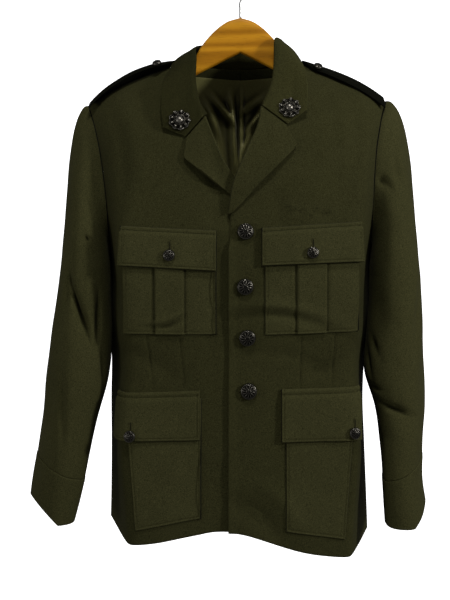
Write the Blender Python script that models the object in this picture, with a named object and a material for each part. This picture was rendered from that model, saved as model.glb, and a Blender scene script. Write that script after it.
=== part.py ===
"""A military dress tunic, buttoned, on a plain wooden hanger.

Lengths are in millimetres here, and a mesh is scaled to metres as it is made.
The front faces -Y, +X is the wearer's left, +Z is up.
The origin is the seat of the hanger's hook, where a rail would hold it.
Cloth is a thin wall between two grids of points, and the pieces are 0.3 mm apart at their seams.
"""
import math
from collections import namedtuple

import bmesh
import bpy
import numpy as np
from mathutils import Vector
from mathutils.bvhtree import BVHTree

MM = 0.001
SEAM = 0.3                # gap between pieces that are sewn or rest together
WOOL = 2.0                # wall of the tunic cloth
DOUBLED = 2.6             # wall of a lapel, flap, collar or strap, which is two layers
SATIN = 1.3               # wall of the lining
DENSE = 150               # samples along a row before it is spaced evenly

RIGHT, LEFT = -1, 1       # the wearer's sides, as signs of X
SIDE_NAMES = {RIGHT: "right", LEFT: "left"}

# ---------------------------------------------------------------- driving sizes

HEM_Z = -923.0            # the level of the hem, apart from its rise at the front
HEM_LEAN = -0.045         # the left side hangs lower
HEM_RISE = 32.0           # how far the hem rises near the edge of the overlap,
HEM_RISE_X = -20.0        # its place,
HEM_RISE_WIDTH = {RIGHT: 100.0, LEFT: 90.0}    # and how far it spreads
UNDERARM_Z = -465.0
TIP_X = {RIGHT: 250.0, LEFT: 240.0}    # shoulder tips, where the sleeves are set in
SHOULDER_FALL = 85.0      # how fast the chest fills out below the middle of the shoulder ridge
TIP_FALL = 58.0           # and below the shoulder tip
NECK_FALL = 35.0          # and behind the neck
NECK_REACH = 110.0        # how far from the middle the neck is felt
RIDGE_ROUND = 12.0
FRONT_BOW = 5.0           # the middle of the front stands this far ahead of its corners
BACK_ROUND = 70.0

# Horizontal sections of the body: half width at the side seam and how much more of it the right
# side has, where the front's and the back's corners are, the Y of the front, side seam and back,
# and how soft the front corner is.
Body = namedtuple("Body", "z half_width right_extra front_corner back_corner front side back softness")
BODY = [
    Body(-940, 217, 4, 169, 178, -110, 44, 108, 18),
    Body(-870, 214, 5, 175, 176, -110, 40, 108, 20),
    Body(-780, 209, 8, 183, 170, -109, 30, 105, 26),
    Body(-700, 205, 11, 182, 164, -105, 20, 98, 30),
    Body(-645, 204, 8, 178, 160, -103, 14, 93, 34),
    Body(-570, 210.5, 3, 184, 165, -108, 8, 97, 38),
    Body(-470, 213, 0, 190, 175, -111, 4, 102, 40),
    Body(-400, 228, 0, 197, 186, -109, 0, 100, 46),
    Body(-300, 248, 0, 204, 200, -106, 0, 94, 50),
    Body(-120, 280, 0, 215, 212, -104, 0, 90, 50),
]

# The top of the shoulder, from the neck to the tip.
Ridge = namedtuple("Ridge", "x z")
RIDGE = [
    Ridge(0, -136),
    Ridge(60, -142),
    Ridge(90, -150),
    Ridge(120, -160),
    Ridge(155, -172),
    Ridge(195, -188.5),
    Ridge(222, -203),
    Ridge(240, -215),
    Ridge(250, -223),
    Ridge(262, -233),
]

# The armhole edge of the fronts and of the backs.
Armhole = namedtuple("Armhole", "z front_x back_x")
ARMHOLE = {
    RIGHT: [
        Armhole(-465, 214.5, 214.5),
        Armhole(-450, 213, 212),
        Armhole(-425, 212, 208),
        Armhole(-390, 213, 206),
        Armhole(-340, 219, 209),
        Armhole(-300, 226, 217),
        Armhole(-265, 235, 230),
        Armhole(-242, 243, 241),
        Armhole(-223, 250, 250),
    ],
    LEFT: [
        Armhole(-465, 214.5, 214.5),
        Armhole(-450, 212, 211),
        Armhole(-425, 211, 207),
        Armhole(-390, 211, 205),
        Armhole(-340, 213, 206),
        Armhole(-300, 217, 211),
        Armhole(-265, 224, 221),
        Armhole(-236, 232, 231),
        Armhole(-215, 240, 240),
    ],
}

# The front edge of each front: the overlap, then the roll line of the lapel, then the neckline.
Point = namedtuple("Point", "x z")
OVERLAP_X = {LEFT: -15.0, RIGHT: 34.0}
LAPEL_ROLL = {
    LEFT: [Point(33, -236), Point(29, -261), Point(10, -307), Point(-9, -354), Point(-18, -404)],
    RIGHT: [Point(-55, -251), Point(-41, -287), Point(-25, -324), Point(-11, -346), Point(6, -372),
            Point(32, -410)],
}
ROLL_SETBACK = 4.5        # a front's own edge lies this far outside the roll of its lapel
NECKLINE = {
    LEFT: [Point(60, -205), Point(77, -172), Point(84, -148.5)],
    RIGHT: [Point(-75, -220), Point(-86, -186), Point(-90, -150)],
}
BACK_NECK_DROP = 18.0     # the back neckline dips this far at the centre

# Lapels: the far edge, from the notch by the collar to the point, then down to the break.
LAPEL_EDGE = {
    LEFT: [Point(71, -264), Point(84, -291), Point(78, -304), Point(39, -348), Point(2, -388),
           Point(-12, -402)],
    RIGHT: [Point(-83, -285), Point(-87, -316), Point(-78, -325), Point(-49, -343),
            Point(-13, -372), Point(20, -404)],
}

# The collar, from its right end round the back of the neck to its left end: the edge of the fall,
# the fold at the top, and the foot of the stand, where it is sewn to the neckline. At its two ends
# the fall is cut down to the notch, which hangs below the line from its edge to the fold.
Collar = namedtuple("Collar", "edge_x edge_y edge_z fold_x fold_y fold_z foot_x foot_y foot_z notch")
COLLAR = [
    Collar(-121, -86, -268, -56, -84, -249, -53, -72, -245, 26),
    Collar(-125, -76, -232, -66, -66, -218, -66, -56, -224, 11),
    Collar(-125, -52, -194, -72, -44, -183, -78, -38, -192, 2),
    Collar(-117, -26, -169, -72, -24, -145, -87, -17, -166, 0),
    Collar(-107, 4, -148, -74, 4, -125, -88, 2, -148, 0),
    Collar(-88, 50, -164, -64, 34, -115, -74, 27, -150, 0),
    Collar(-46, 80, -174, -35, 52, -111, -42, 41, -154, 0),
    Collar(-4, 86, -176, -4, 58, -110, -4, 44, -153, 0),
    Collar(38, 80, -171, 27, 52, -108, 34, 41, -152, 0),
    Collar(76, 50, -158, 54, 34, -108, 66, 27, -146, 0),
    Collar(95, 4, -144, 64, 4, -111, 83, 2, -145, 0),
    Collar(102, -24, -158, 56, -20, -116, 80, -17, -159, 0),
    Collar(105, -50, -178, 55, -34, -150, 71, -34, -182, 2),
    Collar(106, -70, -208, 50, -54, -190, 58, -50, -208, 11),
    Collar(104, -82, -240, 34, -80, -233, 36, -68, -230, 26),
]
LEAF_BULGE = 5.0          # the fall curves out by this much between its edge and the fold
NOTCH_SHARE = {RIGHT: 0.585, LEFT: 0.46}   # the notch's place across the fall, from its edge

# Patch pockets on one front: the corners of the bag and of the flap.
Pocket = namedtuple("Pocket", "inner_x outer_x outer_foot_x top_inner top_outer foot_inner foot_outer")
CHEST_BAG = {LEFT: Pocket(38, 181, 181, -437, -429, -589, -584),
             RIGHT: Pocket(37, 180, 179, -441, -435, -588, -588)}
CHEST_FLAP = {LEFT: Pocket(33, 185, 185, -425, -415, -483, -477),
              RIGHT: Pocket(37, 182, 183, -429, -422, -491, -483)}
LOWER_BAG = {LEFT: Pocket(70, 177, 160, -684, -682, -888, -901),
             RIGHT: Pocket(60, 177, 160, -686, -690, -868, -888)}
LOWER_FLAP = {LEFT: Pocket(63, 181, 181, -672, -669, -752, -750),
              RIGHT: Pocket(62, 188, 193, -674, -679, -749, -752)}
PLEAT_WIDTH = 43.0
PLEAT_RAISE = 2.0
BAG_WALL = 1.8
CHEST_FLAP_STAND = 5.2    # a flap's free edge stands this far off the front
LOWER_FLAP_STAND = 3.4
CORNER_EASE = 0.9         # pockets and flaps stand off a little more near the front's corner

# Buttons: where each stands on the front.
FRONT_BUTTONS = [Point(8, -431), Point(7.5, -515), Point(11, -593), Point(13, -675)]
CHEST_BUTTONS = {LEFT: Point(110, -463), RIGHT: Point(-108, -467)}
LOWER_BUTTONS = {LEFT: Point(174, -738), RIGHT: Point(-168, -743)}
BUTTON_SIDES = 12
FRONT_BUTTON_RADIUS = 12.7
POCKET_BUTTON_RADIUS = 9.0
STRAP_BUTTON_RADIUS = 7.5
STEM_SHARE = 0.3          # a button's stem is this share of its radius
STEM_HEIGHT = 1.6

# Sleeves: sections below the armhole.
Sleeve = namedtuple("Sleeve", "z x y half_width half_depth turn")
SLEEVE = {
    RIGHT: [
        Sleeve(-500, 254.5, -5, 38.5, 78, 5),
        Sleeve(-555, 257.5, -8, 44.5, 76, 9),
        Sleeve(-610, 260, -14, 49, 74, 11),
        Sleeve(-665, 264.5, -22, 50.5, 72, 14),
        Sleeve(-730, 276, -30, 42, 68, 20),
        Sleeve(-785, 285, -36, 38, 65, 25),
        Sleeve(-820, 291, -40, 36.5, 63, 28),
        Sleeve(-885, 303.5, -41, 30.5, 62, 30),
    ],
    LEFT: [
        Sleeve(-500, 253.5, -5, 39, 78, 5),
        Sleeve(-555, 254, -8, 43, 76, 9),
        Sleeve(-610, 252.5, -14, 47, 74, 10),
        Sleeve(-655, 251.5, -20, 49, 72, 11),
        Sleeve(-710, 259, -28, 40, 69, 14),
        Sleeve(-767, 260, -35, 33.5, 67, 15),
        Sleeve(-822, 260.5, -40, 30.5, 66, 16),
        Sleeve(-889, 267, -42, 32.5, 66, 18),
    ],
}

# The largest folds of each sleeve, as soft troughs. A fold's middle is placed by its height and by
# its angle round the sleeve, from the outer side (0) by the front (90) and the inner side (180).
# A lean takes its lower end towards larger angles.
Fold = namedtuple("Fold", "z angle lean length width depth")
SLEEVE_FOLDS = {
    RIGHT: [
        Fold(-352, 105, 30, 34, 20, 4.0),
        Fold(-440, 50, -6, 70, 26, 4.0),
        Fold(-556, 84, 22, 46, 20, 6.5),
        Fold(-660, 38, -4, 90, 24, 5.0),
        Fold(-610, 200, -18, 60, 24, 5.0),
        Fold(-470, 290, 8, 80, 26, 5.0),
        Fold(-680, 262, 48, 46, 22, 5.0),
    ],
    LEFT: [
        Fold(-425, 66, 4, 100, 26, 5.5),
        Fold(-560, 118, -30, 40, 20, 4.5),
        Fold(-716, 80, -72, 42, 18, 4.0),
        Fold(-655, 20, 10, 70, 24, 4.5),
        Fold(-600, 205, 16, 60, 24, 5.0),
        Fold(-480, 280, -8, 80, 26, 5.0),
        Fold(-700, 270, -44, 46, 22, 5.0),
    ],
}
FOLD_REACH = 58.0         # a sleeve's mean radius, which turns angles into lengths
SLEEVE_SIDES = 20
SLEEVE_FLATNESS = 2.3     # exponent of a sleeve's section, where 2 is an ellipse
CAP_REACH = {RIGHT: 37.0, LEFT: 46.0}  # how far the sleeve head runs out level from the shoulder tip,
CAP_SLACK = 14.0          # and how far it hangs inside the line down from there
CAP_PUFF = 12.0
CUFF_SEAM_Z = -803.0      # middle of the cuff seam, which slopes round the sleeve
CUFF_SEAM_SLOPE = 16.0
CUFF_STEP = 0.8           # the cuff stands proud of the sleeve by this much
CUFF_LIFT = {RIGHT: 30.0, LEFT: 27.0}          # the cuff's hem rises by this much at its outer back,
CUFF_LIFT_ANGLE = {RIGHT: 345.0, LEFT: 325.0}  # at these places, in degrees round the sleeve
SLEEVE_SEAMS = (162.0, 288.0)  # the under sleeve lies between these angles

# Shoulder straps: the ridge of each, from the point by the collar to the armhole seam.
Strap = namedtuple("Strap", "x lift half_width")
STRAP = {
    RIGHT: [Strap(112, 7, 5), Strap(122, 8.5, 20), Strap(140, 11.5, 23), Strap(170, 13, 25),
            Strap(205, 10, 26.5), Strap(230, 6, 27.5), Strap(247, 1.2, 28)],
    LEFT: [Strap(107, 4.5, 5), Strap(117, 4.6, 20), Strap(140, 5, 23), Strap(170, 5, 25),
           Strap(200, 4, 26.5), Strap(236, 1.2, 28)],
}
STRAP_FALL = {RIGHT: 12.0, LEFT: 21.0}  # how far a strap's edge hangs below its ridge at full width

# Hanger: the arm's top and bottom edges, from the middle outwards.
Arm = namedtuple("Arm", "x top bottom half_thickness forward")
ARMS = [
    Arm(0, -77, -135, 7.0, 0),
    Arm(23, -84.5, -146, 7.0, 0),
    Arm(46, -102.5, -158, 7.0, 0),
    Arm(64, -124, -167, 7.0, 0),
    Arm(78, -147, -175, 7.0, 0),
    Arm(90, -159.6, -184, 7.0, 0),
    Arm(120, -165.8, -197, 7.0, 0),
    Arm(155, -178.8, -212, 7.2, 0),
    Arm(195, -197.0, -230, 7.4, 0),
    Arm(212, -207.6, -232, 6.6, 0),
]
HOOK_WIRE = 4.0
HOOK_INNER = 21.0         # radius inside the hook
HOOK_SIDES = 7
HOOK_OPENING_ANGLE = 205  # degrees that the bend turns through, from the stem over the top
BADGES = {LEFT: Point(77, -238), RIGHT: Point(-94.5, -258)}
BADGE_RADIUS = 17.5
BADGE_PETALS = 9

COLOURS = {
    "wool": (0.036, 0.038, 0.018),
    "strap_wool": (0.010, 0.011, 0.007),
    "satin": (0.052, 0.050, 0.026),
    "bronze": (0.035, 0.030, 0.026),
    "wood": (0.46, 0.22, 0.07),
    "steel": (0.55, 0.55, 0.54),
}
METALS = ("bronze", "steel")


# ---------------------------------------------------------------- curves through tables

def smooth(knots, values, at):
    """A cubic through a table's values, level with its neighbours' slopes, held at both ends."""
    knots = np.asarray(knots, float)
    values = np.asarray(values, float)
    at = np.clip(np.asarray(at, float), knots[0], knots[-1])
    slopes = np.gradient(values, knots)
    i = np.clip(np.searchsorted(knots, at, side="right") - 1, 0, len(knots) - 2)
    span = knots[i + 1] - knots[i]
    t = (at - knots[i]) / span
    rise = (3 - 2 * t) * t * t
    start = (1 - t) ** 2 * t * span * slopes[i]
    end = (t - 1) * t * t * span * slopes[i + 1]
    return values[i] * (1 - rise) + values[i + 1] * rise + start + end


def column(table, name, at, key="z"):
    """One column of a table as a smooth function of its key column."""
    rows = sorted(table, key=lambda row: getattr(row, key))
    return smooth([getattr(row, key) for row in rows], [getattr(row, name) for row in rows], at)


def evenly(points, count):
    """Points spaced evenly along a polyline."""
    points = np.asarray(points, float)
    steps = np.linalg.norm(np.diff(points, axis=0), axis=1)
    run = np.concatenate([[0], np.cumsum(steps)])
    at = np.linspace(0, run[-1], count)
    return np.stack([np.interp(at, run, points[:, k]) for k in range(points.shape[1])], axis=1)


def soft_line(points, count):
    """A smooth curve through a few points, with its points spaced evenly."""
    points = np.array([tuple(p) for p in points], float)
    steps = np.linalg.norm(np.diff(points, axis=0), axis=1)
    run = np.concatenate([[0], np.cumsum(steps)])
    at = np.linspace(0, run[-1], DENSE)
    dense = np.stack([smooth(run, points[:, k], at) for k in range(points.shape[1])], axis=1)
    return evenly(dense, count)


# ---------------------------------------------------------------- the body's surface

def ridge_z(x):
    """Height of the shoulder ridge."""
    return column(RIDGE, "z", np.abs(x), key="x")


def hem_z(x):
    """Height of the hem at the front, which rises near the edge of the overlap."""
    beside = np.asarray(x) - HEM_RISE_X
    width = np.where(beside < 0, HEM_RISE_WIDTH[RIGHT], HEM_RISE_WIDTH[LEFT])
    return HEM_Z + HEM_LEAN * x + HEM_RISE * np.exp(-(beside / width) ** 2)


def back_hem_z(x):
    """Height of the hem at the back, which meets the front's at the side seams."""
    return HEM_Z + HEM_LEAN * x


def ease(share):
    """A soft step from 0 to 1."""
    share = np.clip(share, 0, 1)
    return share * share * (3 - 2 * share)


def body_half(x, z):
    """The body's half width at a height, on the side of x."""
    extra = np.where(np.asarray(x) < 0, column(BODY, "right_extra", z), 0)
    return column(BODY, "half_width", z) + extra


def fullness(x, z, facing):
    """0 on the shoulder ridge, growing to 1 down the chest (facing -1) or the back (facing 1)."""
    drop = np.maximum(ridge_z(x) - z, 0)
    fall = SHOULDER_FALL + (TIP_FALL - SHOULDER_FALL) * ease((np.abs(x) - 150) / 90)
    if facing > 0:
        fall = fall + (NECK_FALL - SHOULDER_FALL) * (1 - ease(np.abs(x) / NECK_REACH))
    return 1 - np.exp(-np.sqrt(drop * (drop + RIDGE_ROUND)) / fall)


def wall_y(x, z, edge, corner, softness, facing):
    """Y of the front (facing -1) or back (facing 1): flat to a corner, then slanting to the seam."""
    half = body_half(x, z)
    side = column(BODY, "side", z)

    def bend(at):
        slant = side + (at - half) * (side - edge) / (half - corner)
        return 0.5 * (edge + slant - facing * np.sqrt((edge - slant) ** 2 + softness ** 2))

    across = np.minimum(np.abs(x), half)
    shape = bend(across) - (bend(half) - side) * (across / half) ** 4
    return side + (shape - side) * fullness(x, z, facing)


def front_y(x, z):
    """Y of the outside of the fronts."""
    x = np.asarray(x, float)
    z = np.asarray(z, float)
    corner = column(BODY, "front_corner", z)
    bow = FRONT_BOW * np.clip(1 - (x / corner) ** 2, 0, 1)
    edge = column(BODY, "front", z) - bow
    return wall_y(x, z, edge, corner, column(BODY, "softness", z), -1)


def back_y(x, z):
    """Y of the outside of the backs."""
    x = np.asarray(x, float)
    z = np.asarray(z, float)
    return wall_y(x, z, column(BODY, "back", z), column(BODY, "back_corner", z), BACK_ROUND, 1)


def on_face(face, plan):
    """A point grid on the front or back from a plan of (x, z)."""
    y = face(plan[..., 0], plan[..., 1])
    return np.stack([plan[..., 0], y, plan[..., 1]], axis=-1)


def spaced_rows(face, plan, count):
    """As on_face, with each row's points spaced evenly along the cloth."""
    return np.array([evenly(row, count) for row in on_face(face, plan)])


def four_sided(foot, top, near, far):
    """A plan of (x, z) that blends between its foot, top, near and far edges."""
    across = np.linspace(0, 1, len(foot))[None, :, None]
    up = np.linspace(0, 1, len(near))[:, None, None]
    edges = (1 - up) * foot[None] + up * top[None] + (1 - across) * near[:, None]
    edges = edges + across * far[:, None]
    corners = (1 - up) * ((1 - across) * foot[0] + across * foot[-1])
    corners = corners + up * ((1 - across) * top[0] + across * top[-1])
    return edges - corners


# ---------------------------------------------------------------- meshes

def material(name):
    """One Principled material of the palette."""
    made = bpy.data.materials.get(name)
    if made:
        return made
    made = bpy.data.materials.new(name)
    made.use_nodes = True
    shader = made.node_tree.nodes["Principled BSDF"]
    shader.inputs["Base Color"].default_value = (*COLOURS[name], 1)
    shader.inputs["Metallic"].default_value = 1.0 if name in METALS else 0.0
    shader.inputs["Roughness"].default_value = 0.4 if name in METALS else 0.85
    return made


def solid(name, points, faces, look, smooth_angle=40):
    """A closed mesh object from points in millimetres."""
    mesh = bpy.data.meshes.new(name)
    work = bmesh.new()
    corners = [work.verts.new(Vector(p) * MM) for p in points]
    for face in faces:
        work.faces.new([corners[i] for i in face])
    bmesh.ops.recalc_face_normals(work, faces=work.faces)
    work.to_mesh(mesh)
    work.free()
    mesh.shade_smooth()
    mesh.set_sharp_from_angle(angle=math.radians(smooth_angle))
    made = bpy.data.objects.new(name, mesh)
    made.data.materials.append(material(look))
    bpy.context.scene.collection.objects.link(made)
    return made


def grid_normals(grid, ring):
    """Unit normals of a point grid; in a ring each row's last point is next to its first."""
    if ring:
        along = np.roll(grid, -1, axis=1) - np.roll(grid, 1, axis=1)
    else:
        along = np.gradient(grid, axis=1)
    normals = np.cross(along, np.gradient(grid, axis=0))
    return normals / np.maximum(np.linalg.norm(normals, axis=2, keepdims=True), 1e-9)


def cloth(name, outer, inner, look, ring=False):
    """A wall of cloth between an outer and an inner point grid."""
    rows, columns = outer.shape[:2]
    points = np.concatenate([outer.reshape(-1, 3), inner.reshape(-1, 3)])

    def at(layer, row, place):
        return layer * rows * columns + row * columns + place % columns

    faces = []
    steps = columns if ring else columns - 1
    for layer in (0, 1):
        for row in range(rows - 1):
            for place in range(steps):
                faces.append([at(layer, row, place), at(layer, row, place + 1),
                              at(layer, row + 1, place + 1), at(layer, row + 1, place)])
                if layer:
                    faces[-1].reverse()
    for row in (0, rows - 1):
        for place in range(steps):
            faces.append([at(0, row, place), at(0, row, place + 1),
                          at(1, row, place + 1), at(1, row, place)])
    if not ring:
        for place in (0, columns - 1):
            for row in range(rows - 1):
                faces.append([at(0, row, place), at(0, row + 1, place),
                              at(1, row + 1, place), at(1, row, place)])
    return solid(name, points, faces, look)


def wall(name, outer, thickness, outside, look, ring=False):
    """A wall of cloth inwards of its outer points; outside is roughly the way that it faces."""
    normals = grid_normals(outer, ring)
    if np.sum(normals * outside) < 0:
        normals = -normals
    return cloth(name, outer, outer - normals * thickness, look, ring)


def raised(face, plan, height, facing):
    """Points of a front or back moved out by a height; facing is -1 for the front."""
    base = on_face(face, plan)
    normals = grid_normals(base, ring=False)
    flip = np.sign(np.sum(normals[..., 1]) * facing)
    return base + normals * flip * np.asarray(height)[..., None]


def turned(profile, sides, ripple=None):
    """Points and faces of a turned solid about Z from (radius, height) pairs, poles at its ends."""
    points = [(0, 0, profile[0][1])]
    for level, (radius, height) in enumerate(profile[1:-1], start=1):
        for k in range(sides):
            angle = 2 * math.pi * k / sides
            reach = radius * (ripple(level, k) if ripple else 1)
            points.append((reach * math.cos(angle), reach * math.sin(angle), height))
    points.append((0, 0, profile[-1][1]))
    rings = len(profile) - 2
    last = len(points) - 1
    faces = []
    for k in range(sides):
        after = (k + 1) % sides
        faces.append([0, 1 + after, 1 + k])
        faces.append([last, last - sides + k, last - sides + after])
        for ring in range(rings - 1):
            low = 1 + ring * sides
            faces.append([low + k, low + after, low + sides + after, low + sides + k])
    return points, faces


def seat_turned(name, profile, sides, seat, normal, look, ripple=None):
    """A turned solid that stands on a seat, along a normal."""
    points, faces = turned(profile, sides, ripple)
    turn = Vector((0, 0, 1)).rotation_difference(Vector(normal))
    placed = [tuple(turn @ Vector(p) + Vector(seat)) for p in points]
    return solid(name, placed, faces, look)


# ---------------------------------------------------------------- fronts and backs

FRONT_COLUMNS, FRONT_LOW_ROWS, FRONT_HIGH_ROWS = 15, 10, 13
BACK_COLUMNS = 11
UNDER_TUCK = 2.7          # what the left front covers lies this far behind its outside
FRONT_TUCK_LEAD = 22.0    # the right front is right down this far before the left front's edge,
LAPEL_TUCK_LEAD = 7.0     # and its lapel, which lies on it, only this far
TUCK_WIDTH = 30.0


def front_edge(side):
    """The front edge above the overlap: along the roll of the lapel, then up the neckline."""
    roll = [Point(p.x + side * ROLL_SETBACK, p.z) for p in reversed(LAPEL_ROLL[side])]
    roll[0] = Point(OVERLAP_X[side], roll[0].z)
    return roll + NECKLINE[side]


def front_outline(side):
    """The plan of one front in two parts, below and above the underarm."""
    edge = front_edge(side)
    edge_foot = OVERLAP_X[side]
    half = float(body_half(side, UNDERARM_Z))
    across = np.linspace(0, 1, DENSE)
    rows = []
    for up in np.linspace(0, 1, FRONT_LOW_ROWS):
        z_side = HEM_Z + (UNDERARM_Z - HEM_Z) * up
        x = edge_foot + (side * body_half(side, z_side) - edge_foot) * across
        rows.append(np.stack([x, hem_z(x) + (UNDERARM_Z - hem_z(x)) * up], axis=1))
    lower = np.array(rows)

    foot = lower[-1]
    top_x = np.linspace(edge[-1].x, side * TIP_X[side], DENSE)
    top = np.stack([top_x, ridge_z(top_x)], axis=1)
    top[0] = (edge[-1].x, edge[-1].z)
    near = soft_line([(edge_foot, UNDERARM_Z)] + [(p.x, p.z) for p in edge], FRONT_HIGH_ROWS)
    far_z = np.linspace(UNDERARM_Z, ARMHOLE[side][-1].z, DENSE)
    far_x = side * column(ARMHOLE[side], "front_x", far_z)
    far = evenly(np.stack([far_x, far_z], axis=1), FRONT_HIGH_ROWS)
    far[0] = (side * half, UNDERARM_Z)
    return lower, four_sided(foot, top, near, far)


def tuck_under(points, depth, lead):
    """Move points of the right side behind the left front, where it covers them."""
    edge = front_edge(LEFT)
    left_x = smooth([p.z for p in edge], [p.x for p in edge], points[..., 2])
    covered = ease((points[..., 0] - left_x + lead) / TUCK_WIDTH + 1)
    behind = front_y(points[..., 0], points[..., 2]) + depth
    moved = points.copy()
    moved[..., 1] += covered * (behind - points[..., 1])
    return moved


def make_front(side):
    lower, upper = front_outline(side)
    plan = np.concatenate([lower, upper[1:]])
    outer = spaced_rows(front_y, plan, FRONT_COLUMNS)
    if side == RIGHT:
        beside_lapel = ease((outer[..., 2] + 430) / 20)
        depth = UNDER_TUCK + (DOUBLED + 2 * SEAM) * beside_lapel
        outer = tuck_under(outer, depth, FRONT_TUCK_LEAD)
    normals = grid_normals(outer, ring=False)
    normals *= np.sign(-np.sum(normals[..., 1]))
    inner = outer - normals * WOOL
    outer[..., 1] = np.minimum(outer[..., 1], np.where(at_ridge(outer), -SEAM / 2, np.inf))
    inner[..., 1] = np.minimum(inner[..., 1], np.where(at_ridge(outer), -SEAM / 2, np.inf))
    part_at_side(outer, inner, -SEAM / 2)
    return cloth("front_" + SIDE_NAMES[side], outer, inner, "wool")


def at_ridge(points):
    """True for the row of a body panel that lies along the shoulder ridge."""
    mask = np.zeros(points.shape[:2], bool)
    mask[-1] = True
    return mask


def part_at_side(outer, inner, shift):
    """Leave half a seam's gap at the side seam, which is the last point of each row."""
    for grid in (outer, inner):
        grid[:FRONT_LOW_ROWS, -1, 1] += shift
    inner[:FRONT_LOW_ROWS, -1, 1] = outer[:FRONT_LOW_ROWS, -1, 1]


def back_outline(side):
    """The plan of one back in two parts, below and above the underarm."""
    start = side * SEAM / 2
    half = float(body_half(side, UNDERARM_Z))
    across = np.linspace(0, 1, DENSE)
    rows = []
    for up in np.linspace(0, 1, FRONT_LOW_ROWS):
        z_side = HEM_Z + (UNDERARM_Z - HEM_Z) * up
        x = start + (side * body_half(side, z_side) - start) * across
        rows.append(np.stack([x, back_hem_z(x) + (UNDERARM_Z - back_hem_z(x)) * up], axis=1))
    lower = np.array(rows)

    neck_share = abs(NECKLINE[side][-1].x) / TIP_X[side]
    top_x = start + (side * TIP_X[side] - start) * across
    dip = BACK_NECK_DROP * np.sqrt(np.clip(1 - (across / neck_share) ** 2, 0, 1))
    top = np.stack([top_x, ridge_z(top_x) - dip], axis=1)
    near_z = np.linspace(UNDERARM_Z, top[0, 1], FRONT_HIGH_ROWS)
    near = np.stack([np.full(FRONT_HIGH_ROWS, start), near_z], axis=1)
    far_z = np.linspace(UNDERARM_Z, ARMHOLE[side][-1].z, DENSE)
    far_x = side * column(ARMHOLE[side], "back_x", far_z)
    far = evenly(np.stack([far_x, far_z], axis=1), FRONT_HIGH_ROWS)
    far[0] = (side * half, UNDERARM_Z)
    return lower, four_sided(lower[-1], top, near, far)


def make_back(side):
    lower, upper = back_outline(side)
    plan = np.concatenate([lower, upper[1:]])
    outer = spaced_rows(back_y, plan, BACK_COLUMNS)
    normals = grid_normals(outer, ring=False)
    normals *= np.sign(np.sum(normals[..., 1]))
    inner = outer - normals * WOOL
    inner[:, 0, 0] = side * SEAM / 2
    outer[..., 1] = np.maximum(outer[..., 1], np.where(at_ridge(outer), SEAM / 2, -np.inf))
    inner[..., 1] = np.maximum(inner[..., 1], np.where(at_ridge(outer), SEAM / 2, -np.inf))
    part_at_side(outer, inner, SEAM / 2)
    return cloth("back_" + SIDE_NAMES[side], outer, inner, "wool")


# ---------------------------------------------------------------- sleeves

SLEEVE_HEAD_ROWS, SLEEVE_ROWS, CUFF_ROWS = 6, 11, 3


def armhole_ring(side):
    """The armhole seam from the tip down the front to the underarm and up the back."""
    half_count = SLEEVE_SIDES // 2 + 1
    z = np.linspace(ARMHOLE[side][-1].z, UNDERARM_Z, DENSE)
    rings = []
    for face, name in ((front_y, "front_x"), (back_y, "back_x")):
        x = side * column(ARMHOLE[side], name, z)
        y = face(x, z)
        rings.append(evenly(np.stack([x, y, z], axis=1), half_count))
    front, back = rings
    return np.concatenate([front, back[-2:0:-1]])


def sleeve_section(side, z):
    """One ring of a sleeve at a height, from its outer side round by the front."""
    row = {name: float(column(SLEEVE[side], name, z)) for name in Sleeve._fields[1:]}
    angle = np.linspace(0, 2 * math.pi, SLEEVE_SIDES, endpoint=False)
    power = 2 / SLEEVE_FLATNESS
    across = row["half_width"] * np.sign(np.cos(angle)) * np.abs(np.cos(angle)) ** power
    depth = -row["half_depth"] * np.sign(np.sin(angle)) * np.abs(np.sin(angle)) ** power
    turn = math.radians(row["turn"])
    x = row["x"] + across * math.cos(turn) + depth * math.sin(turn)
    y = row["y"] + depth * math.cos(turn) - across * math.sin(turn)
    return np.stack([side * x, y, np.full(SLEEVE_SIDES, z)], axis=1)


def sleeve_head(side):
    """Rings from the armhole seam out over the sleeve head and down to the first section."""
    angle = np.linspace(0, 2 * math.pi, SLEEVE_SIDES, endpoint=False)
    seam = armhole_ring(side)
    seam[:, 0] += side * (SEAM + 0.1)
    seam[:, 2] += SEAM * (0.5 + 0.5 * np.cos(angle))
    below = sleeve_section(side, SLEEVE[side][0].z)
    top = 0.5 + 0.5 * np.cos(angle)
    puff = np.sin(angle)
    reach = np.stack([side * (CAP_REACH[side] * top + CAP_PUFF * puff ** 2), -CAP_PUFF * puff,
                      -2 * top - 8 * (1 - top)], axis=1)
    near = seam + reach
    far = below.copy()
    far[:, 0] -= side * CAP_SLACK * np.clip(np.cos(angle), 0, 1)
    far[:, 2] += 0.42 * (seam[:, 2] - below[:, 2])
    rings = []
    for t in np.linspace(0, 1, SLEEVE_HEAD_ROWS) ** 1.15:
        rings.append((1 - t) ** 3 * seam + 3 * t * (1 - t) ** 2 * near
                     + 3 * t * t * (1 - t) * far + t ** 3 * below)
    return np.array(rings)


def cuff_seam_z(side):
    """Height of the cuff seam round the sleeve: low at the inner front, high at the outer back."""
    angle = np.linspace(0, 2 * math.pi, SLEEVE_SIDES, endpoint=False)
    return CUFF_SEAM_Z + CUFF_SEAM_SLOPE * np.cos(angle + math.radians(35))


def lower_rings(side, start_z, end_z, rows):
    """Rings of a sleeve between two levels, each level a height for every point of the ring."""
    rings = []
    for t in np.linspace(0, 1, rows):
        levels = start_z + (end_z - start_z) * t
        ring = [sleeve_section(side, levels[k])[k] for k in range(SLEEVE_SIDES)]
        rings.append(ring)
    return np.array(rings)


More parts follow.
